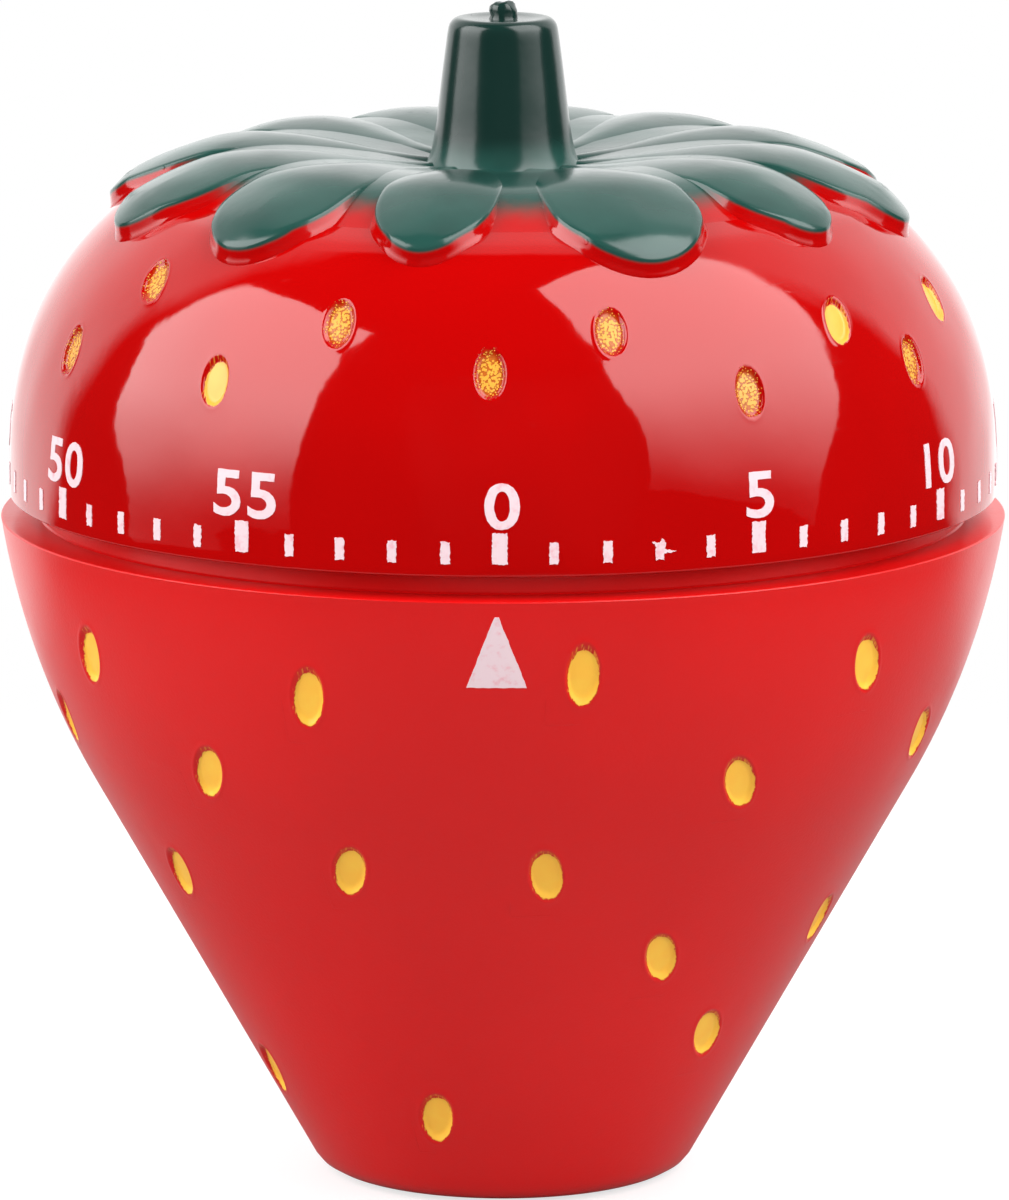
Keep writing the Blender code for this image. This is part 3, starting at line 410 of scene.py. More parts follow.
class Skin:
    """A turned skin with oval hollows: a grid of rows and columns, and rings round each hollow."""

    def __init__(self, side, rows, rest, columns=COLUMNS):
        self.side = side
        self.rows = rows
        self.columns = columns
        turns = 2 * np.pi * np.arange(columns) / columns
        grid = [side.points(turns, np.full(columns, row)) for row in rows]
        grid += [
            np.column_stack([r * np.cos(turns), r * np.sin(turns), np.full(columns, z)]) for r, z in rest
        ]
        self.points = [tuple(p) for p in np.concatenate(grid)]
        self.seed = [NO_SEED] * len(self.points)
        self.removed = set()
        self.faces = []
        self.row_count = len(grid)

    def index(self, row, column):
        return row * self.columns + column % self.columns

    def hollow(self, front_turn, height, lean, width, length, depth, kind, rim):
        """Sinks an oval into the skin and stores its own coordinates for the paint."""
        turn, along = world_turn(front_turn) % (2 * math.pi), self.side.at_height(height * MM)
        half_width, half_length = width / 2, length / 2
        reach = self.side.reach(along)
        pitch = 2 * math.pi / self.columns
        lean = math.radians(lean)
        sideways = math.hypot(half_width * math.cos(lean), half_length * math.sin(lean))
        wide = HOLLOW_BLOCK[0] * sideways / reach / pitch
        tall = HOLLOW_BLOCK[1] * math.hypot(half_length * math.cos(lean), half_width * math.sin(lean))
        left, right = math.floor(turn / pitch - wide), math.ceil(turn / pitch + wide)
        top = int(np.searchsorted(self.rows, along - tall)) - 1
        bottom = int(np.searchsorted(self.rows, along + tall))
        loop = [(row, left) for row in range(top, bottom)]
        loop += [(bottom, column) for column in range(left, right)]
        loop += [(row, right) for row in range(bottom, top, -1)]
        loop += [(top, column) for column in range(right, left, -1)]
        for row in range(top, bottom):
            for column in range(left, right):
                cell = (row, column % self.columns)
                if cell in self.removed:
                    raise RuntimeError(f"two seeds share the skin at {math.degrees(turn):.0f} degrees")
                self.removed.add(cell)
        flat = np.array([((column * pitch - turn) * reach, self.rows[row] - along) for row, column in loop])
        # The hollow's own axes: across it, and along it with its upper end positive.
        across = (flat[:, 0] * math.cos(lean) + flat[:, 1] * math.sin(lean)) / half_width
        upward = (flat[:, 0] * math.sin(lean) - flat[:, 1] * math.cos(lean)) / half_length
        size = np.hypot(across, upward)
        outer = [self.index(row, column) for row, column in loop]
        for k, name in enumerate(outer):
            self.seed[name] = (across[k], upward[k], 0.0)
        count = len(outer)
        for ring in SEED_RINGS:
            shrink = ring / size
            sink = depth * (1.0 - smoothstep(HOLLOW_FLOOR, 1.0, ring)) * (1.0 - 0.12 * (1.0 - ring**2))
            bump = rim * math.exp(-(((ring - RIM_PLACE) / RIM_SPREAD) ** 2))
            lifts = np.full(count, bump - sink)
            made = self.side.points(turn + flat[:, 0] * shrink / reach, along + flat[:, 1] * shrink, lifts)
            start = len(self.points)
            self.points += [tuple(p) for p in made]
            self.seed += [(across[k] * shrink[k], upward[k] * shrink[k], kind) for k in range(count)]
            inner = list(range(start, start + count))
            for k in range(count):
                n = (k + 1) % count
                self.faces.append((outer[k], outer[n], inner[n], inner[k]))
            outer = inner
        self.points.append(tuple(self.side.points(turn, [along], -depth * 0.88)[0]))
        self.seed.append((0.0, 0.0, kind))
        middle = len(self.points) - 1
        for k in range(count):
            self.faces.append((outer[k], outer[(k + 1) % count], middle))

    def close(self):
        """The grid's own faces, without the cells under the hollows."""
        for row in range(self.row_count - 1):
            for column in range(self.columns):
                if (row, column) not in self.removed:
                    self.faces.append((
                        self.index(row, column), self.index(row + 1, column),
                        self.index(row + 1, column + 1), self.index(row, column + 1),
                    ))


def mark_outline(corners, step):
    """A closed outline with points between the corners."""
    outline = []
    for a, b in zip(corners, corners[1:] + corners[:1]):
        count = max(1, round(math.dist(a, b) / step))
        for k in range(count):
            outline.append((a[0] + (b[0] - a[0]) * k / count, a[1] + (b[1] - a[1]) * k / count))
    return outline


def prism(outline):
    """A flat mark as a closed mesh: its top at z 1 and its underside at z 0."""
    made = bmesh.new()
    lower = [made.verts.new((x, y, 0.0)) for x, y in outline]
    upper = [made.verts.new((x, y, 1.0)) for x, y in outline]
    made.faces.new(upper)
    made.faces.new(lower[::-1])
    for k in range(len(outline)):
        n = (k + 1) % len(outline)
        made.faces.new((lower[k], lower[n], upper[n], upper[k]))
    return made


def slice_mark(made, step):
    """Cuts a flat mark into narrow strips both ways, so that it can follow a curved skin."""
    for axis in (0, 1):
        values = [v.co[axis] for v in made.verts]
        low, high = min(values), max(values)
        for k in range(1, math.ceil((high - low) / step)):
            place = [0.0, 0.0, 0.0]
            normal = [0.0, 0.0, 0.0]
            place[axis] = low + step * k
            normal[axis] = 1.0
            geometry = list(made.verts) + list(made.edges) + list(made.faces)
            bmesh.ops.bisect_plane(made, geom=geometry, plane_co=place, plane_no=normal, dist=1e-6)


# Where each part of a noise vector is taken. Blender's own noise_vector changes from run to run.
NOISE_SHIFTS = (0.0, 31.7, 73.1)


def noise_push(place):
    """A vector of noise that is the same in every run."""
    return Vector([noise.noise(place + Vector((shift, shift, 0.0))) for shift in NOISE_SHIFTS])


def wrapped_mark(made, side, turn, along, ragged, grain):
    """Lays a flat mark on a side and frays its outline a little. It gives points and faces."""
    turns, alongs, lifts = [], [], []
    for vertex in made.verts:
        x, y, z = vertex.co
        fray = noise_push(Vector((x, y, turn * 0.01)) / grain + Vector((turn * 7.0, 0.0, 3.0)))
        x += fray.x * ragged
        y += fray.y * ragged
        turns.append(turn + x / side.reach(along))
        alongs.append(along - y)
        lifts.append(PRINT_LIFT if z > 0.5 else -PRINT_SINK)
    points = side.points(np.array(turns), np.array(alongs), np.array(lifts))
    made.verts.index_update()
    faces = [[v.index for v in face.verts] for face in made.faces]
    made.free()
    return points, faces


# ---- finishes


class Nodes:
    """A node tree and short ways to add nodes to it."""

    def __init__(self, tree):
        self.nodes, self.links = tree.nodes, tree.links

    def add(self, kind, inputs=None, **settings):
        node = self.nodes.new("ShaderNode" + kind)
        for key, value in settings.items():
            setattr(node, key, value)
        for key, value in (inputs or {}).items():
            self.put(node.inputs[key], value)
        return node

    def put(self, socket, value):
        if isinstance(value, bpy.types.NodeSocket):
            self.links.new(value, socket)
        else:
            socket.default_value = value

    def math(self, operation, *values):
        return self.add("Math", dict(enumerate(values)), operation=operation).outputs[0]

    def total(self, start, *terms):
        """A start value and each (value, weight) added to it."""
        for value, weight in terms:
            start = self.math("ADD", self.math("MULTIPLY", value, weight), start)
        return start

    def between(self, value, low, high, to_low=0.0, to_high=1.0, ease="SMOOTHSTEP"):
        names = ("Value", "From Min", "From Max", "To Min", "To Max")
        inputs = dict(zip(names, (value, low, high, to_low, to_high)))
        return self.add("MapRange", inputs, interpolation_type=ease).outputs[0]

    def mix(self, share, first, second):
        """Two colours mixed: the colour sockets of the node are its inputs 6 and 7."""
        node = self.add("Mix", {0: share}, data_type="RGBA")
        for socket, tone in ((6, first), (7, second)):
            flat = not isinstance(tone, bpy.types.NodeSocket)
            self.put(node.inputs[socket], (*tone[:3], 1.0) if flat else tone)
        return node.outputs[2]

    def place(self):
        return self.add("TexCoord").outputs["Object"]

    def stretched(self, scale, place=None, rotation=(0.0, 0.0, 0.0)):
        inputs = {"Vector": place or self.place(), "Rotation": rotation, "Scale": scale}
        return self.add("Mapping", inputs).outputs["Vector"]

    def noise(self, per_metre, detail=2.0, roughness=0.5, place=None, distortion=0.0):
        names = ("Vector", "Scale", "Detail", "Roughness", "Distortion")
        values = (place or self.place(), per_metre, detail, roughness, distortion)
        return self.add("TexNoise", dict(zip(names, values))).outputs["Fac"]

    def fray(self, per_metre, detail=3.0, roughness=0.5):
        """Noise about zero."""
        return self.math("SUBTRACT", self.noise(per_metre, detail, roughness), 0.5)

    def cells(self, per_metre):
        inputs = {"Vector": self.place(), "Scale": per_metre}
        return self.add("TexVoronoi", inputs).outputs["Distance"]

    def bump(self, height, distance, onto=None):
        node = self.add("Bump", {"Height": height, "Distance": distance, "Strength": 1.0})
        if onto:
            self.put(node.inputs["Normal"], onto)
        return node.outputs["Normal"]

    def stored(self, name, output):
        return self.add("Attribute", attribute_name=name).outputs[output]


class Finish(Nodes):
    """A material with one Principled shader."""

    def __init__(self, name):
        self.material = bpy.data.materials.new(name)
        self.material.use_nodes = True
        super().__init__(self.material.node_tree)

    def made(self, **inputs):
        """Sets the shader's own sockets and gives the material."""
        for key, value in inputs.items():
            name = key.replace("_", " ").title().replace("Ior", "IOR")
            self.put(self.nodes["Principled BSDF"].inputs[name], value)
        return self.material


def shaded(tone, share):
    return tuple(c * share for c in tone)


def seed_paint(finish, base, yellow):
    """Yellow paint in the seed hollows: the colour, its cover, and its solid and grainy shares."""
    place = finish.stored("seed_place", "Vector")
    parts = finish.add("SeparateXYZ", {"Vector": place})
    across, upward, kind = (parts.outputs[name] for name in "XYZ")
    stippled = finish.between(kind, BRUSHED, STIPPLED)

    def oval(shift_across, shift_upward, wide, tall):
        x = finish.math("DIVIDE", finish.math("SUBTRACT", across, shift_across), wide)
        y = finish.math("DIVIDE", finish.math("SUBTRACT", upward, shift_upward), tall)
        squares = finish.math("ADD", finish.math("POWER", x, 2.0), finish.math("POWER", y, 2.0))
        return finish.math("SQRT", squares)

    ragged = finish.fray(2600.0, 3.0, 0.6)
    # Brushed seeds: a full oval low in the hollow, and bristle marks towards its upper end.
    solid = finish.between(finish.total(oval(0.05, -0.11, 0.90, 0.86), (ragged, 0.22)), 1.0, 0.95)
    streaks = finish.noise(1.6, 2.0, 0.6, finish.stretched((7.0, 1.3, 1.0), place, (0.0, 0.0, -0.5)))
    hollow = finish.between(oval(-0.02, 0.0, 0.98, 0.99), 1.0, 0.94)
    upper = finish.between(upward, 0.1, 0.75, 0.62, 0.50)
    thin = finish.math("MULTIPLY", finish.between(streaks, upper, 0.66), hollow)
    brushed_share = finish.math("MAXIMUM", solid, finish.math("MULTIPLY", thin, 0.55))
    # Stippled seeds: grains of paint, thinner towards the rim.
    rough_oval = finish.total(oval(-0.05, 0.03, 0.93, 0.94), (ragged, 0.4))
    dense = finish.between(rough_oval, 0.4, 1.08, 0.60, 0.2)
    grains = finish.between(finish.cells(6000.0), finish.math("ADD", dense, 0.07), dense)
    dots = finish.math("MULTIPLY", grains, finish.between(rough_oval, 1.08, 1.0))
    wash = finish.between(rough_oval, 1.0, 0.6, 0.0, 0.85)
    stippled_share = finish.math("MAXIMUM", dots, wash)
    shares = {0: stippled, 2: brushed_share, 3: stippled_share}
    share = finish.add("Mix", shares, data_type="FLOAT").outputs[0]
    cover = finish.math("MULTIPLY", share, finish.between(kind, 0.5, 0.9))
    # Thin paint looks darker and browner than a full coat, and grains catch more light.
    shade = finish.math("MULTIPLY", finish.between(finish.noise(900.0), 0.3, 0.7), 0.35)
    coat = finish.mix(shade, yellow, (yellow[0], yellow[1] * 0.78, yellow[2] * 0.7))
    grained = finish.mix(dots, (0.50, 0.13, 0.008), (0.82, 0.37, 0.035))
    painted = finish.mix(cover, base, finish.mix(stippled, coat, grained))
    return painted, cover, solid, finish.math("MULTIPLY", dots, stippled)


def gloss_red(colours):
    """Deep glossy red moulding, with paint in its seeds and green spray round the leaves."""
    finish = Finish("gloss_red_moulding")
    red = tuple(colours.gloss_red)
    base = finish.mix(finish.between(finish.noise(90.0), 0.35, 0.65), shaded(red, 0.94), red)
    spray = finish.total(finish.stored("leaf_spray", "Fac"), (finish.fray(500.0), 0.3))
    green = finish.between(spray, 0.15, 0.85)
    sprayed = finish.mix(green, base, tuple(colours.leaf_green))
    yellow = tuple(c * share for c, share in zip(colours.seed_yellow, CAP_PAINT_SHARE))
    painted, cover, _, dots = seed_paint(finish, sprayed, yellow)
    smears = finish.between(finish.noise(160.0, 4.0, 0.62), 0.45, 0.8)
    lines = finish.noise(260.0, 2.0, 0.5, finish.stretched((1.0, 1.0, 14.0)), 1.2)
    scratches = finish.between(lines, 0.70, 0.76)
    wave = finish.bump(finish.noise(120.0, 1.0), 220 * UM)
    peel = finish.bump(finish.noise(1100.0, 1.0), 3.5 * UM, wave)
    return finish.made(
        base_color=painted,
        roughness=finish.total(0.045, (smears, 0.035), (scratches, 0.10), (cover, 0.30), (green, 0.10)),
        normal=finish.bump(finish.total(dots, (cover, 0.4)), 70 * UM, peel),
        ior=1.5,
        specular_ior_level=0.5,
    )


def satin_red(colours):
    """Satin red moulding with fine grain, and brushed paint in its seeds."""
    finish = Finish("satin_red_moulding")
    red = tuple(colours.satin_red)
    base = finish.mix(finish.between(finish.noise(70.0, 3.0), 0.3, 0.7), shaded(red, 0.95), red)
    painted, cover, solid, _ = seed_paint(finish, base, tuple(colours.seed_yellow))
    scuffs = finish.between(finish.noise(240.0, 4.0, 0.65), 0.5, 0.85)
    grain = finish.bump(finish.noise(5200.0, 2.0, 0.6), 12 * UM)
    return finish.made(
        base_color=painted,
        roughness=finish.total(0.30, (scuffs, 0.06), (cover, 0.06)),
        normal=finish.bump(solid, 60 * UM, grain),
        ior=1.5,
        specular_ior_level=0.36,
    )


def leaf_paint(colours):
    """Green paint over the red moulding, which shows on the sides of the leaves."""
    finish = Finish("sprayed_leaf_green")
    green = tuple(colours.leaf_green)
    cloud = finish.between(finish.noise(260.0, 3.0), 0.3, 0.7)
    # Painted shade: the green is darkened to 0.40 on the stem above its flared foot, for the less light
    # that its upright sides get.
    height = finish.add("SeparateXYZ", {"Vector": finish.place()}).outputs["Z"]
    stem_painted_shade = finish.between(height, 63.4 * MM, 65.0 * MM)
    paint = finish.mix(cloud, shaded(green, 0.88), shaded(green, 1.1))
    paint = finish.mix(stem_painted_shade, paint, shaded(green, 0.40))
    spray = finish.total(finish.stored("leaf_spray", "Fac"), (finish.fray(900.0), 0.25))
    cover = finish.between(spray, 0.12, 0.88)
    specks = finish.between(finish.cells(420.0), 0.075, 0.05)
    wave = finish.bump(finish.noise(190.0, 1.0), 120 * UM)
    peel = finish.bump(finish.noise(1500.0, 1.5), 6 * UM, wave)
    return finish.made(
        base_color=finish.mix(cover, tuple(colours.gloss_red), paint),
        roughness=finish.total(0.07, (cover, 0.09), (finish.noise(700.0, 3.0), 0.06)),
        normal=finish.bump(specks, 20 * UM, peel),
        ior=1.5,
        specular_ior_level=0.5,
    )


def scale_ink(colours):
    """Pale ink, a little uneven, with the red faintly through it where it is thin."""
    finish = Finish("pale_print")
    pale = tuple(colours.print_white)
    thin = finish.between(finish.noise(1500.0, 3.0, 0.6), 0.52, 0.78)
    return finish.made(
        base_color=finish.mix(thin, pale, (pale[0] * 0.97, pale[1] * 0.66, pale[2] * 0.70)),
        roughness=finish.total(0.30, (thin, 0.15)),
        normal=finish.bump(finish.noise(2600.0), 12 * UM),
    )


def worked_metal(name, tone, roughness, grain, tint, scratch_scale):
    """Bare metal with its machining: fine lines, dull patches and a little tarnish."""
    finish = Finish(name)
    lines = finish.noise(scratch_scale, 3.0, 0.65, finish.stretched((1.0, 9.0, 1.0)))
    patches = finish.between(finish.noise(240.0, 3.0), 0.35, 0.7)
    return finish.made(
        base_color=finish.mix(finish.math("MULTIPLY", patches, 0.6), tone, tint),
        roughness=finish.total(roughness, (lines, grain)),
        normal=finish.bump(lines, 8 * UM),
        metallic=1.0,
    )


def stage_floor():
    """Pale floor whose rim fades out. The camera sees it a little brighter than it is lit."""
    finish = Finish("pale_floor")
    away = finish.add("VectorMath", {0: finish.place()}, operation="LENGTH").outputs["Value"]
    seen = finish.add("LightPath").outputs["Is Camera Ray"]
    return finish.made(
        base_color=finish.mix(finish.noise(30.0), (0.30, 0.30, 0.30), (0.33, 0.33, 0.33)),
        alpha=finish.between(away, 0.15, 0.10),
        emission_strength=finish.math("MULTIPLY", seen, 0.70),
        emission_color=(1.0, 1.0, 1.0, 1.0),
        roughness=0.7,
        specular_ior_level=0.2,
    )


FINISHES = {}


def shared(maker):
    """The material of a maker, built once for all the pieces that share it."""
    if maker not in FINISHES:
        FINISHES[maker] = maker(bpy.context.scene.timer_finish)
    return FINISHES[maker]


# ---- the pieces


def cup_side():
    return Side(belly_side(top=RIM_HEIGHT - RIM_ROUND))


def cap_side():
    return Side(dome_side())


def seed_places(front, heights, count, seed):
    """The front seeds, and more round the back in two or more staggered rows."""
    places = list(front)
    draw = random.Random(seed)
    for k in range(count):
        turn = 92.0 + 176.0 * (k + 0.5) / count + draw.uniform(-2.0, 2.0)
        height = heights[k % len(heights)] + draw.uniform(-0.6, 0.6)
        places.append((turn, height, draw.uniform(-22.0, 22.0)))
    return places


def sink_seeds(skin, places, width, length, rim, brushed):
    """Sinks the seeds. The places that brushed holds have brushed paint, and the rest are stippled."""
    depth = bpy.context.scene.timer_sizes.seed_depth
    for turn, height, lean in places:
        kind = BRUSHED if (turn, height) in brushed else STIPPLED
        skin.hollow(turn, height, lean, width, length, depth, kind, rim)
    skin.close()


def moulding(name, skin, parts, finish):
    """A skin and its other parts as one object, with the seeds' own coordinates and the spray."""
    points, faces = join_parts([(skin.points, skin.faces), *parts])
    seeds = skin.seed + [NO_SEED] * (len(points) - len(skin.seed))
    x, y, height = np.array(points).T
    spray = spray_at(np.hypot(x, y)) * (height > SPRAY_LOW)
    made = new_object(name, points, faces, [finish], {"seed_place": seeds}, {"leaf_spray": spray})
    weld_and_sharpen(made)
    return made


class TIMER_OT_cup_shell(bpy.types.Operator):
    """Builds the cup: satin outer side with its seed hollows, rim, collar, inner side and bosses"""

    bl_idname = "timer.cup_shell"
    bl_label = "Cup shell"

    def execute(self, context):
        outer = belly_side(top=RIM_HEIGHT - RIM_ROUND)
        rim = [
            (RIM_RADIUS - RIM_ROUND * (1 - math.sin(a)), RIM_HEIGHT - RIM_ROUND * (1 - math.cos(a)))
            for a in np.linspace(0.0, math.pi / 2, 5)[:-1]
        ]
        inner_top = belly_inner_top()
        inner = belly_side(CUP_WALL, inner_top, 10)
        collar = [
            (COLLAR_INNER, inner_top + 2.0 * MM), (COLLAR_INNER, COLLAR_TOP - COLLAR_ROUND),
            (COLLAR_INNER + COLLAR_ROUND, COLLAR_TOP), (COLLAR_OUTER - COLLAR_ROUND, COLLAR_TOP),
            (COLLAR_OUTER, COLLAR_TOP - COLLAR_ROUND), (COLLAR_OUTER, RIM_HEIGHT + 0.1 * MM),
            (COLLAR_OUTER + 0.1 * MM, RIM_HEIGHT), (RIM_RADIUS - RIM_ROUND, RIM_HEIGHT),
        ]
        skin = Skin(cup_side(), evenly(outer, SKIN_STEP)[:, 0], [(4.0 * MM, 0.0), (AXIS, 0.0)])
        size = context.scene.timer_sizes
        places = seed_places(CUP_SEEDS, BACK_CUP_HEIGHTS, BACK_CUP_SEEDS, 3)
        brushed = [place[:2] for place in places]
        sink_seeds(skin, places, size.cup_seed_width, size.cup_seed_length, CUP_SEED_RIM, brushed)
        upper = turned_part(inner[::-1] + collar + rim + outer[:1], COLUMNS)
        floor = turned_part([(AXIS, CUP_WALL), inner[-1]], COLUMNS)
        bosses = [boss(angle) for angle in BOSS_ANGLES]
        made = moulding("cup_shell", skin, [upper, floor, *bosses], shared(satin_red))
        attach(made, "case")
        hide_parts("base_cup")
        return {"FINISHED"}


def boss(angle):
    """A screw boss with its pilot hole, let into the cup's inner side."""
    centre = (BOSS_CIRCLE * math.cos(math.radians(angle)), BOSS_CIRCLE * math.sin(math.radians(angle)))
    outline = [
        (0.05 * MM, BOSS_TOP - PILOT_DEPTH), (PILOT_RADIUS, BOSS_TOP - PILOT_DEPTH),
        (PILOT_RADIUS, BOSS_TOP), (BOSS_RADIUS - BOSS_EDGE, BOSS_TOP),
        (BOSS_RADIUS, BOSS_TOP - BOSS_EDGE), (BOSS_RADIUS, BOSS_FOOT),
    ]
    points, faces = turned_part(outline, 28, centre)
    # The lower end stays inside the cup's wall, which slopes in under it.
    inner = Side(belly_side(CUP_WALL * 0.6, belly_inner_top(), 40))
    reach, height = inner.radius[::-1], inner.height[::-1]
    return [(x, y, max(z, float(np.interp(math.hypot(x, y), reach, height)))) for x, y, z in points], faces

def weld_and_sharpen(made, angle=math.radians(38.0)):
    """Joins the seams, dissolves degenerate pieces and marks the sharp edges."""
    grid = bmesh.new()
    grid.from_mesh(made.data)
    bmesh.ops.remove_doubles(grid, verts=grid.verts, dist=0.004 * MM)
    bmesh.ops.dissolve_degenerate(grid, dist=0.001 * MM, edges=grid.edges)
    for edge in grid.edges:
        edge.smooth = not (len(edge.link_faces) == 2 and edge.calc_face_angle(0.0) > angle)
    grid.to_mesh(made.data)
    grid.free()


class TIMER_OT_cap_shell(bpy.types.Operator):
    """Builds the dial cap: glossy dome with its seed hollows, lower edge, inner side, hub and stop"""

    bl_idname = "timer.cap_shell"
    bl_label = "Cap shell"

    def execute(self, context):
        edge = [
            (CAP_RADIUS - RIM_ROUND * (1 - math.cos(a)), CAP_EDGE + RIM_ROUND * (1 - math.sin(a)))
            for a in np.linspace(0.0, math.pi / 2, 5)[1:]
        ]
        inside = [(CAP_RADIUS - CAP_WALL, CAP_EDGE)]
        for step in range(13):
            height = DOME_START + (CEILING - DOME_START) * math.sin(math.pi / 2 * step / 12)
            inside.append((dome_radius(height, CAP_WALL), height))
        inside += [
            (HUB_RADIUS + 0.4 * MM, CEILING), (HUB_RADIUS, CEILING - 0.4 * MM), (HUB_RADIUS, HUB_LOW),
            (HUB_BORE, HUB_LOW), (HUB_BORE, HUB_BORE_TOP), (AXIS, HUB_BORE_TOP),
        ]
        skin = Skin(cap_side(), evenly(dome_side(), SKIN_STEP)[:, 0], edge + inside)
        size = context.scene.timer_sizes
        places = seed_places(CAP_SEEDS, BACK_CAP_HEIGHTS, BACK_CAP_SEEDS, 5)
        sink_seeds(
            skin, places, size.cap_seed_width, size.cap_seed_length, CAP_SEED_RIM, SMOOTH_CAP_SEEDS
        )
        made = moulding("cap_shell", skin, [stop_rib()], shared(gloss_red))
        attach(made, "dial")
        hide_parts("dial_cap")
        return {"FINISHED"}


def stop_rib():
    """The rib inside the cap that meets the stop pin at both ends of the scale."""
    heights = [STOP_RIB_LOW + (STOP_RIB_TOP - STOP_RIB_LOW) * k / 6 for k in range(7)]
    outline = [(dome_radius(height, CAP_WALL * 0.6), height) for height in heights]
    outline += [(STOP_CIRCLE - 2.0 * MM, STOP_RIB_TOP), (STOP_CIRCLE - 2.0 * MM, STOP_RIB_LOW)]
    cosine, sine = math.cos(math.radians(STOP_RIB_ANGLE)), math.sin(math.radians(STOP_RIB_ANGLE))
    count = len(outline)
    points = []
    for y in (-0.5 * STOP_WIDTH, 0.5 * STOP_WIDTH):
        points += [(x * cosine - y * sine, x * sine + y * cosine, height) for x, height in outline]
    faces = [tuple(range(count))[::-1], tuple(range(count, 2 * count))]
    faces += [(k, (k + 1) % count, count + (k + 1) % count, count + k) for k in range(count)]
    return points, [face[::-1] for face in faces]


def leaf_half_width(reach, tip, width, sector):
    """Half the width along a leaf: its sector near the stem, then an ellipse round its tip."""
    outer = np.clip((reach - (tip - LEAF_TAPER)) / LEAF_TAPER, 0.0, 1.0)
    ellipse = width * np.sqrt(1.0 - outer**2)
    wedge = reach * math.tan(sector)
    return wedge * ellipse / (wedge**8 + ellipse**8 + 1e-40) ** 0.125


def leaf_points(side, number, thickness, crown):
    """One leaf: rings from its sunk foot over the rounded rim and up to its spine."""
    front_turn, tip, half_width = LEAVES[number]
    before, after = LEAVES[number - 1][0], LEAVES[(number + 1) % len(LEAVES)][0]
    sector = math.radians((after - before) % 360.0) / 4
    first, last = LEAF_INNER, tip * MM
    # Points along the leaf, closer together towards its round end.
    ahead = first + (last - first) * np.sin(np.linspace(0.0, math.pi / 2, 40))
    half = leaf_half_width(ahead, last, half_width * MM, sector)
    half[-1] = 0.0
    reach = np.concatenate([ahead, ahead[-2::-1]])
    width = np.concatenate([half, -half[-2::-1]])
    spine = first + (reach - first) * (last - LEAF_SPINE_GAP - first) / (last - first)
    inward = np.clip((LEAF_FLAT_FROM - reach) / LEAF_FLAT_LENGTH, 0.0, 1.0)
    round_off = (0.16 + 0.62 * inward) * MM
    tall = thickness * (1.0 - 0.30 * inward)
    room = np.hypot(reach - spine, width) + 1e-6
    skirt = LEAF_SKIRT * (1.0 - smoothstep(0.0, 0.35, inward))
    rings = []
    for lift, inset, spread, paint in LEAF_RIM:
        share = np.clip((inset * round_off - spread * skirt) / room, -0.9, 0.9)
        rings.append((share, tall * lift, paint))
    start = np.clip(round_off / room, 0.0, 0.9)
    for step in LEAF_TOP:
        rise = crown * (1.0 - (1.0 - step) ** 2.0) * (1.0 - 0.45 * inward)
        rings.append((start + (1.0 - start) * step, tall + rise, 1.0))
    widening = side.radius.argmax()
    points, paints = [], []
    for share, lift, paint in rings:
        ring_reach = reach + (spine - reach) * share
        ring_width = width * (1.0 - share)
        distance = np.hypot(ring_reach, ring_width)
        along = np.interp(distance, side.radius[:widening], side.along[:widening])
        turn = world_turn(front_turn) + np.arctan2(ring_width, ring_reach)
        points.append(side.points(turn, along, lift))
        # Towards the stem the spray reaches down the sides too.
        paints.append(np.maximum(paint, spray_at(distance)))
    count = len(reach)
    faces = grid_faces(len(rings), count, wrap=False)
    top = (len(rings) - 1) * count
    for k in range(count // 2 - 1):
        left, right = top + k, top + count - 1 - k
        faces.append((left, right, right - 1, left + 1))
    last = top + count // 2
    faces.append((last - 1, last + 1, last))
    inner_end = [ring * count for ring in range(len(rings))]
    inner_end += [first + count - 1 for first in inner_end[::-1]]
    faces += [tuple(range(count)), tuple(inner_end)]
    return np.concatenate(points), faces, np.concatenate(paints)


def crown_middle(side, columns=144):
    """The raised middle of the crown, from which the leaves run out."""
    line = smooth_line([CROWN_MIDDLE[0], *CROWN_MIDDLE, CROWN_MIDDLE[-1]], 5)
    turns = 2 * np.pi * np.arange(columns) / columns
    rows = [
        side.points(turns, np.full(columns, side.at_radius(reach * MM)), lift * MM) for reach, lift in line
    ]
    return np.concatenate(rows), grid_faces(len(rows), columns)


class TIMER_OT_leaf_crown(bpy.types.Operator):
    """Builds the twelve plump leaves, painted green on top and red down their sides"""

    bl_idname = "timer.leaf_crown"
    bl_label = "Leaf crown"

    def execute(self, context):
        side = cap_side()
        size = context.scene.timer_sizes
        parts, paints = [], []
        for number in range(len(LEAVES)):
            points, faces, paint = leaf_points(side, number, size.leaf_thickness, size.leaf_crown)
            parts.append((points, faces))
            paints.append(paint)
        parts.append(crown_middle(side))
        paints.append(spray_at(np.hypot(*parts[-1][0][:, :2].T)))
        spray = {"leaf_spray": np.concatenate(paints)}
        made = new_object("leaf_crown", *join_parts(parts), [shared(leaf_paint)], floats=spray)
        grid = bmesh.new()
        grid.from_mesh(made.data)
        bmesh.ops.recalc_face_normals(grid, faces=grid.faces)
        grid.to_mesh(made.data)
        grid.free()
        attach(made, "dial")
        return {"FINISHED"}


def green_part(name, points, faces, sharp):
    """A piece that is sprayed green all over."""
    spray = {"leaf_spray": [1.0] * len(points)}
    made = new_object(name, points, faces, [shared(leaf_paint)], floats=spray)
    weld_and_sharpen(made, math.radians(sharp))
    return made


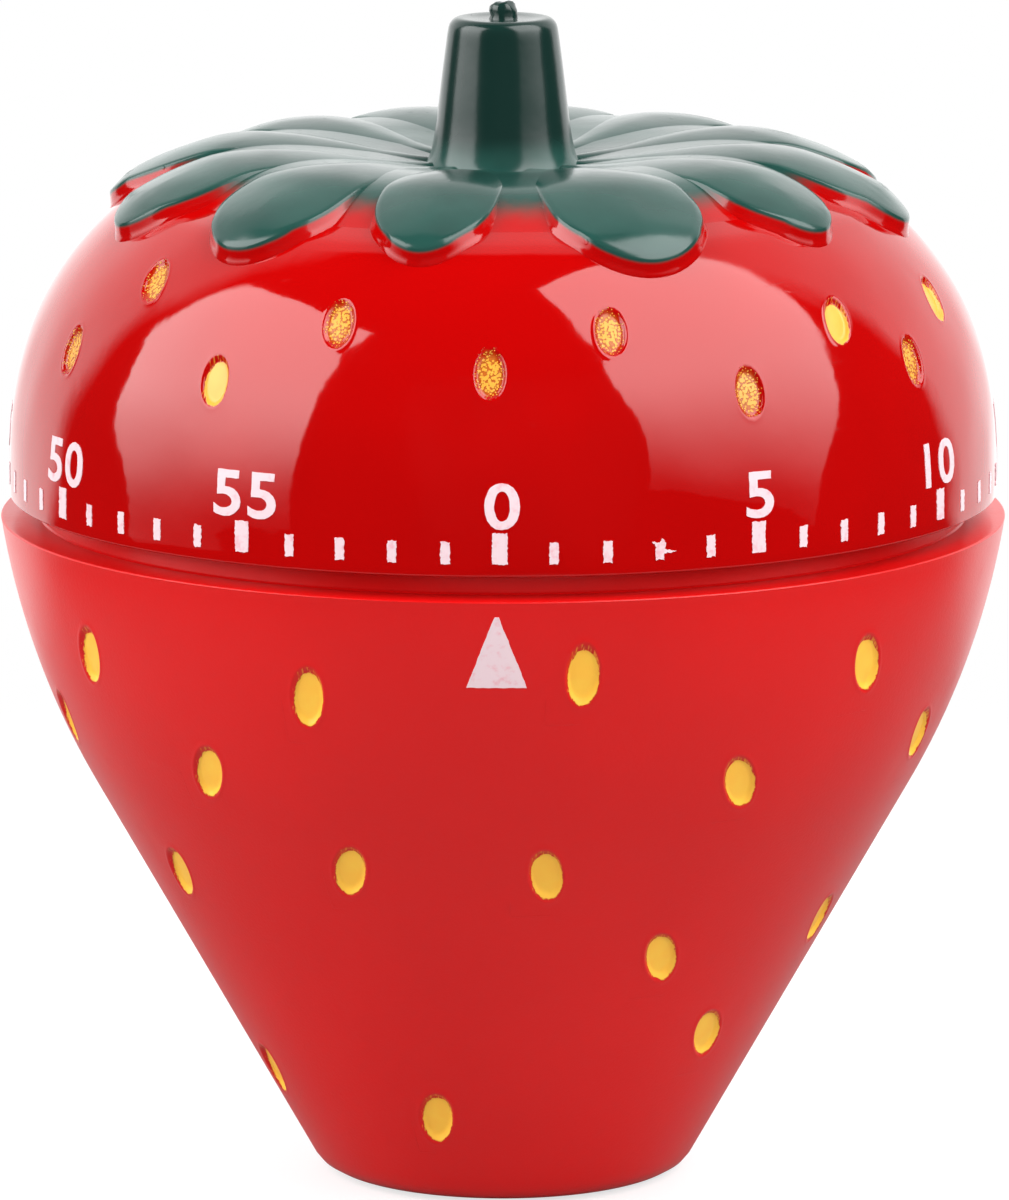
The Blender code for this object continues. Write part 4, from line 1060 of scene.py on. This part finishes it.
class TIMER_OT_stem(bpy.types.Operator):
    """Builds the stem with its flared foot, and the broken end of the sprue on top"""

    bl_idname = "timer.stem"
    bl_label = "Stem"

    def execute(self, context):
        line = in_metres(STEM)
        first = (2 * line[0][0] - line[1][0], line[0][1] - 0.02 * MM)
        last = (-line[-2][0], line[-2][1])
        smooth = smooth_line([first] + line + [last], 4)[::-1]
        outline = [(max(radius, 0.0), height) for radius, height in smooth]
        outline[0] = (AXIS, outline[0][1])
        stem = green_part("stem", *turned_part(outline + [STEM_FOOT], 96), 60.0)
        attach(stem, "dial")

        points, faces = turned_part(in_metres(NUB), 36)
        lumpy = []
        for place in map(Vector, points):
            push = noise_push(place / (0.55 * MM)) * 0.16 * MM
            push += noise_push(place / (0.2 * MM)) * 0.05 * MM
            lumpy.append(place + push * min(1.0, (place.z - NUB_FOOT) / (0.4 * MM)))
        nub = green_part("stem_nub", lumpy, faces, 70.0)
        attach(nub, "dial")
        return {"FINISHED"}


def printed(name, marks):
    """Marks that share the printing ink, as one object."""
    return new_object(name, *join_parts(marks), [shared(scale_ink)], smooth=False)


class TIMER_OT_scale(bpy.types.Operator):
    """Prints the sixty ticks and the numbers round the foot of the cap"""

    bl_idname = "timer.scale"
    bl_label = "Printed scale"

    def execute(self, context):
        side = cap_side()
        foot = side.at_height(TICK_FOOT)
        step = context.scene.timer_sizes.number_step
        marks = []
        for minute in range(SCALE_DIVISIONS):
            width, height = TICK_MAJOR if minute % step == 0 else TICK_MINOR
            corners = [(-width / 2, 0.0), (width / 2, 0.0), (width / 2, height), (-width / 2, height)]
            if minute == SMUDGED_TICK:
                corners = in_metres(SMUDGE)
            mark = prism(mark_outline(corners, 0.08 * MM))
            turn = world_turn(SCALE_TURN + 360.0 / SCALE_DIVISIONS * minute)
            marks.append(wrapped_mark(mark, side, turn, foot, TICK_RAGGED, 0.15 * MM))
        ticks = printed("scale_ticks", marks)
        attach(ticks, "dial")

        marks = []
        foot = side.at_height(NUMBER_FOOT)
        for minute in range(0, SCALE_DIVISIONS, step):
            mark = number_mark(str(minute))
            slice_mark(mark, 0.3 * MM)
            turn = world_turn(NUMBER_TURN + 360.0 / SCALE_DIVISIONS * minute)
            marks.append(wrapped_mark(mark, side, turn, foot, 0.03 * MM, 0.3 * MM))
        numbers = printed("scale_numbers", marks)
        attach(numbers, "dial")
        return {"FINISHED"}


def number_mark(text):
    """A number as a flat closed mesh, centred on x 0 with its foot on y 0."""
    curve = bpy.data.curves.new("number", "FONT")
    curve.body = text
    curve.align_x = "CENTER"
    curve.size = 1.0
    curve.extrude = 0.5
    curve.resolution_u = 5
    curve.space_character = 1.08
    curve.offset = NUMBER_BOLD
    holder = bpy.data.objects.new("number", curve)
    bpy.context.scene.collection.objects.link(holder)
    bpy.context.view_layer.update()
    graph = bpy.context.evaluated_depsgraph_get()
    mesh = bpy.data.meshes.new_from_object(holder.evaluated_get(graph))
    made = bmesh.new()
    made.from_mesh(mesh)
    bpy.data.objects.remove(holder)
    bpy.data.curves.remove(curve)
    bpy.data.meshes.remove(mesh)
    bmesh.ops.remove_doubles(made, verts=made.verts, dist=0.0005)
    sides, tops, _ = zip(*(vertex.co for vertex in made.verts))
    middle, foot = (min(sides) + max(sides)) / 2, min(tops)
    scale = NUMBER_HEIGHT / (max(tops) - foot)
    for vertex in made.verts:
        x, y, z = vertex.co
        vertex.co = ((x - middle) * scale * NUMBER_STRETCH, (y - foot) * scale, 1.0 if z > 0.0 else 0.0)
    return made


class TIMER_OT_pointer(bpy.types.Operator):
    """Prints the pointer on the front of the cup, under the rim"""

    bl_idname = "timer.pointer"
    bl_label = "Pointer"

    def execute(self, context):
        side = cup_side()
        width, height = POINTER_SIZE
        corners = [(-width / 2, 0.0), (width / 2, 0.0), (0.12 * MM, height), (-0.12 * MM, height)]
        mark = prism(mark_outline(corners, 0.2 * MM))
        slice_mark(mark, 0.4 * MM)
        turn, foot = world_turn(POINTER_TURN), side.at_height(POINTER_FOOT)
        made = printed("pointer", [wrapped_mark(mark, side, turn, foot, 0.05 * MM, 0.4 * MM)])
        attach(made, "case")
        return {"FINISHED"}


METALS = {
    "brass": ("stamped_brass", (0.70, 0.50, 0.20), 0.20, 0.22, (0.52, 0.34, 0.12), 900.0),
    "steel": ("bright_steel", (0.60, 0.60, 0.61), 0.18, 0.24, (0.45, 0.45, 0.47), 1100.0),
    "spring_steel": ("blued_spring_steel", (0.14, 0.16, 0.22), 0.22, 0.16, (0.22, 0.17, 0.14), 1600.0),
    "bell_metal": ("plated_bell", (0.78, 0.77, 0.74), 0.08, 0.12, (0.66, 0.64, 0.60), 700.0),
}
SPRING_NODES = ("mainspring", "click_spring", "hammer_spring", "lever_spring")


class TIMER_OT_movement(bpy.types.Operator):
    """Finishes the plates, wheels, arbors, springs and bell of the movement"""

    bl_idname = "timer.movement"
    bl_label = "Movement finishes"

    def execute(self, context):
        for name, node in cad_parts.items():
            if node.hide_render:
                continue
            old = node.data.materials[0].name if node.data.materials else ""
            slot = next((key for key in ("spring_steel", "bell_metal", "brass") if key in old), "steel")
            if name in SPRING_NODES:
                slot = "spring_steel"
            if slot not in FINISHES:
                FINISHES[slot] = worked_metal(*METALS[slot])
            if not node.data.materials:
                node.data.materials.append(FINISHES[slot])
            for place in node.material_slots:
                place.material = FINISHES[slot]
        return {"FINISHED"}


# ---- stage

CAMERA_PLACE = (0.09 * MM, -546.8 * MM, 139.0 * MM)
CAMERA_TILT = 10.72
CAMERA_LENS = 269.5
CAMERA_RANGE = (0.05, 10.0)
FLOOR_RINGS = (0.001, 0.03, 0.08, 0.16)
FLOOR_HEIGHT = -0.0002
LIT_HEIGHT = 0.045
SOFTBOX_AWAY = 1.1
CORNER_POWER = 2.4
# The way to the middle of the bright backdrop.
BACKDROP_WAY = (0.0, 1.0, 0.4)
# Each softbox: turn from the front, lift, roll, width, height, brightness, and whether it is
# bounced from a wide matt screen, which shows in no reflection.
SOFTBOXES = (
    ("left_softbox", -76.5, 22.0, -9.0, 1.06, 1.44, 5.2, False),
    ("right_softbox", 64.2, 36.0, 17.4, 1.13, 1.88, 4.8, False),
    ("front_bounce", 5.0, 16.0, 0.0, 1.0, 1.0, 2.0, True),
)


class TIMER_OT_studio(bpy.types.Operator):
    """Builds the pale floor, two softboxes, the bright surroundings and the camera"""

    bl_idname = "timer.studio"
    bl_label = "Studio"

    def execute(self, context):
        scene = context.scene
        floor_line = [(radius, FLOOR_HEIGHT) for radius in FLOOR_RINGS]
        floor = new_object("floor", *turned_part(floor_line, 64), [stage_floor()])
        for softbox in SOFTBOXES:
            scene.collection.objects.link(softbox_light(*softbox))
        surroundings(scene)
        camera = bpy.data.cameras.new("camera")
        camera.lens = CAMERA_LENS
        camera.sensor_width = 36.0
        camera.sensor_fit = "AUTO"
        camera.clip_start, camera.clip_end = CAMERA_RANGE
        holder = bpy.data.objects.new("camera", camera)
        holder.location = CAMERA_PLACE
        holder.rotation_euler = (math.radians(90.0 - CAMERA_TILT), 0.0, 0.0)
        scene.collection.objects.link(holder)
        scene.camera = holder
        scene.view_settings.view_transform = "Standard"
        return {"FINISHED"}

def softbox_light(name, turn, lift, roll, width, height, brightness, bounced):
    """An area light that faces the object."""
    light = bpy.data.lights.new(name, "AREA")
    light.shape = "RECTANGLE"
    light.size, light.size_y = width, height
    light.energy = brightness * math.pi * width * height
    if not bounced:
        dim_edges(light, 0.0 if turn < 0.0 else 1.0)
    angle, rise = world_turn(turn), math.radians(lift)
    away = Vector((math.cos(angle) * math.cos(rise), math.sin(angle) * math.cos(rise), math.sin(rise)))
    holder = bpy.data.objects.new(name, light)
    holder.location = Vector((0.0, 0.0, LIT_HEIGHT)) + away * SOFTBOX_AWAY
    holder.rotation_mode = "QUATERNION"
    roll_turn = Quaternion((0.0, 0.0, 1.0), math.radians(-roll))
    holder.rotation_quaternion = away.to_track_quat("Z", "Y") @ roll_turn
    holder.visible_camera = False
    holder.visible_glossy = not bounced
    return holder


def dim_edges(light, outer_side):
    """Fades a softbox towards its lower edge and rounds its upper corner on the outer side."""
    light.use_nodes = True
    made = Nodes(light.node_tree)
    spot = made.add("NewGeometry").outputs["Parametric"]
    parts = made.add("SeparateXYZ", {"Vector": spot}).outputs
    lower = made.between(parts["Y"], 0.0, 0.55, 0.03, 1.0)
    sideways = made.between(parts["X"], 0.5, outer_side, ease="LINEAR")
    upwards = made.between(parts["Y"], 0.35, 1.0, ease="LINEAR")
    corner = made.math(
        "ADD", made.math("POWER", sideways, CORNER_POWER), made.math("POWER", upwards, CORNER_POWER)
    )
    shining = made.math("MULTIPLY", lower, made.between(corner, 1.26, 1.08))
    made.put(made.nodes["Emission"].inputs["Strength"], shining)


def surroundings(scene):
    """A white backdrop behind and over the object, and a dim room in front of it."""
    world = bpy.data.worlds.new("studio")
    world.use_nodes = True
    scene.world = world
    made = Nodes(world.node_tree)
    made.nodes.clear()
    place = made.add("TexCoord").outputs["Generated"]
    towards = made.add("VectorMath", {0: place, 1: BACKDROP_WAY}, operation="DOT_PRODUCT")
    backdrop = made.between(towards.outputs["Value"], 0.50, 0.62, 0.02, 1.0)
    # The backdrop is brightest low down, and it dims overhead.
    height = made.add("SeparateXYZ", {"Vector": place}).outputs["Z"]
    fall = made.between(height, 0.25, 0.9, 1.45, 0.55, "LINEAR")
    white = {"Color": (1.0, 1.0, 1.0, 1.0)}
    room = made.add("Background", {**white, "Strength": made.math("MULTIPLY", backdrop, fall)})
    seen = made.add("Background", white)
    camera_ray = made.add("LightPath").outputs["Is Camera Ray"]
    mixed = made.add("MixShader", {0: camera_ray, 1: room.outputs[0], 2: seen.outputs[0]})
    made.add("OutputWorld", {"Surface": mixed.outputs[0]})


# ---- add-on

OPERATORS = (
    TIMER_OT_cup_shell, TIMER_OT_cap_shell, TIMER_OT_leaf_crown, TIMER_OT_stem,
    TIMER_OT_scale, TIMER_OT_pointer, TIMER_OT_movement, TIMER_OT_studio,
)


class TIMER_PT_panel(bpy.types.Panel):
    bl_idname = "TIMER_PT_panel"
    bl_label = "Strawberry timer"
    bl_space_type = "VIEW_3D"
    bl_region_type = "UI"
    bl_category = "Timer"

    def draw(self, context):
        for group in (context.scene.timer_sizes, context.scene.timer_finish):
            column = self.layout.column(align=True)
            for name in group.__annotations__:
                column.prop(group, name)
        for operator in OPERATORS:
            self.layout.operator(operator.bl_idname)


CLASSES = (TimerSizes, TimerFinish, *OPERATORS, TIMER_PT_panel)


def register():
    for made in CLASSES:
        bpy.utils.register_class(made)
    bpy.types.Scene.timer_sizes = PointerProperty(type=TimerSizes)
    bpy.types.Scene.timer_finish = PointerProperty(type=TimerFinish)


def unregister():
    del bpy.types.Scene.timer_finish
    del bpy.types.Scene.timer_sizes
    for made in reversed(CLASSES):
        bpy.utils.unregister_class(made)


def main():
    register()
    bpy.ops.timer.cup_shell()
    bpy.ops.timer.cap_shell()
    bpy.ops.timer.leaf_crown()
    bpy.ops.timer.stem()
    bpy.ops.timer.scale()
    bpy.ops.timer.pointer()
    bpy.ops.timer.movement()
    bpy.ops.timer.studio()


if __name__ == "__main__":
    main()
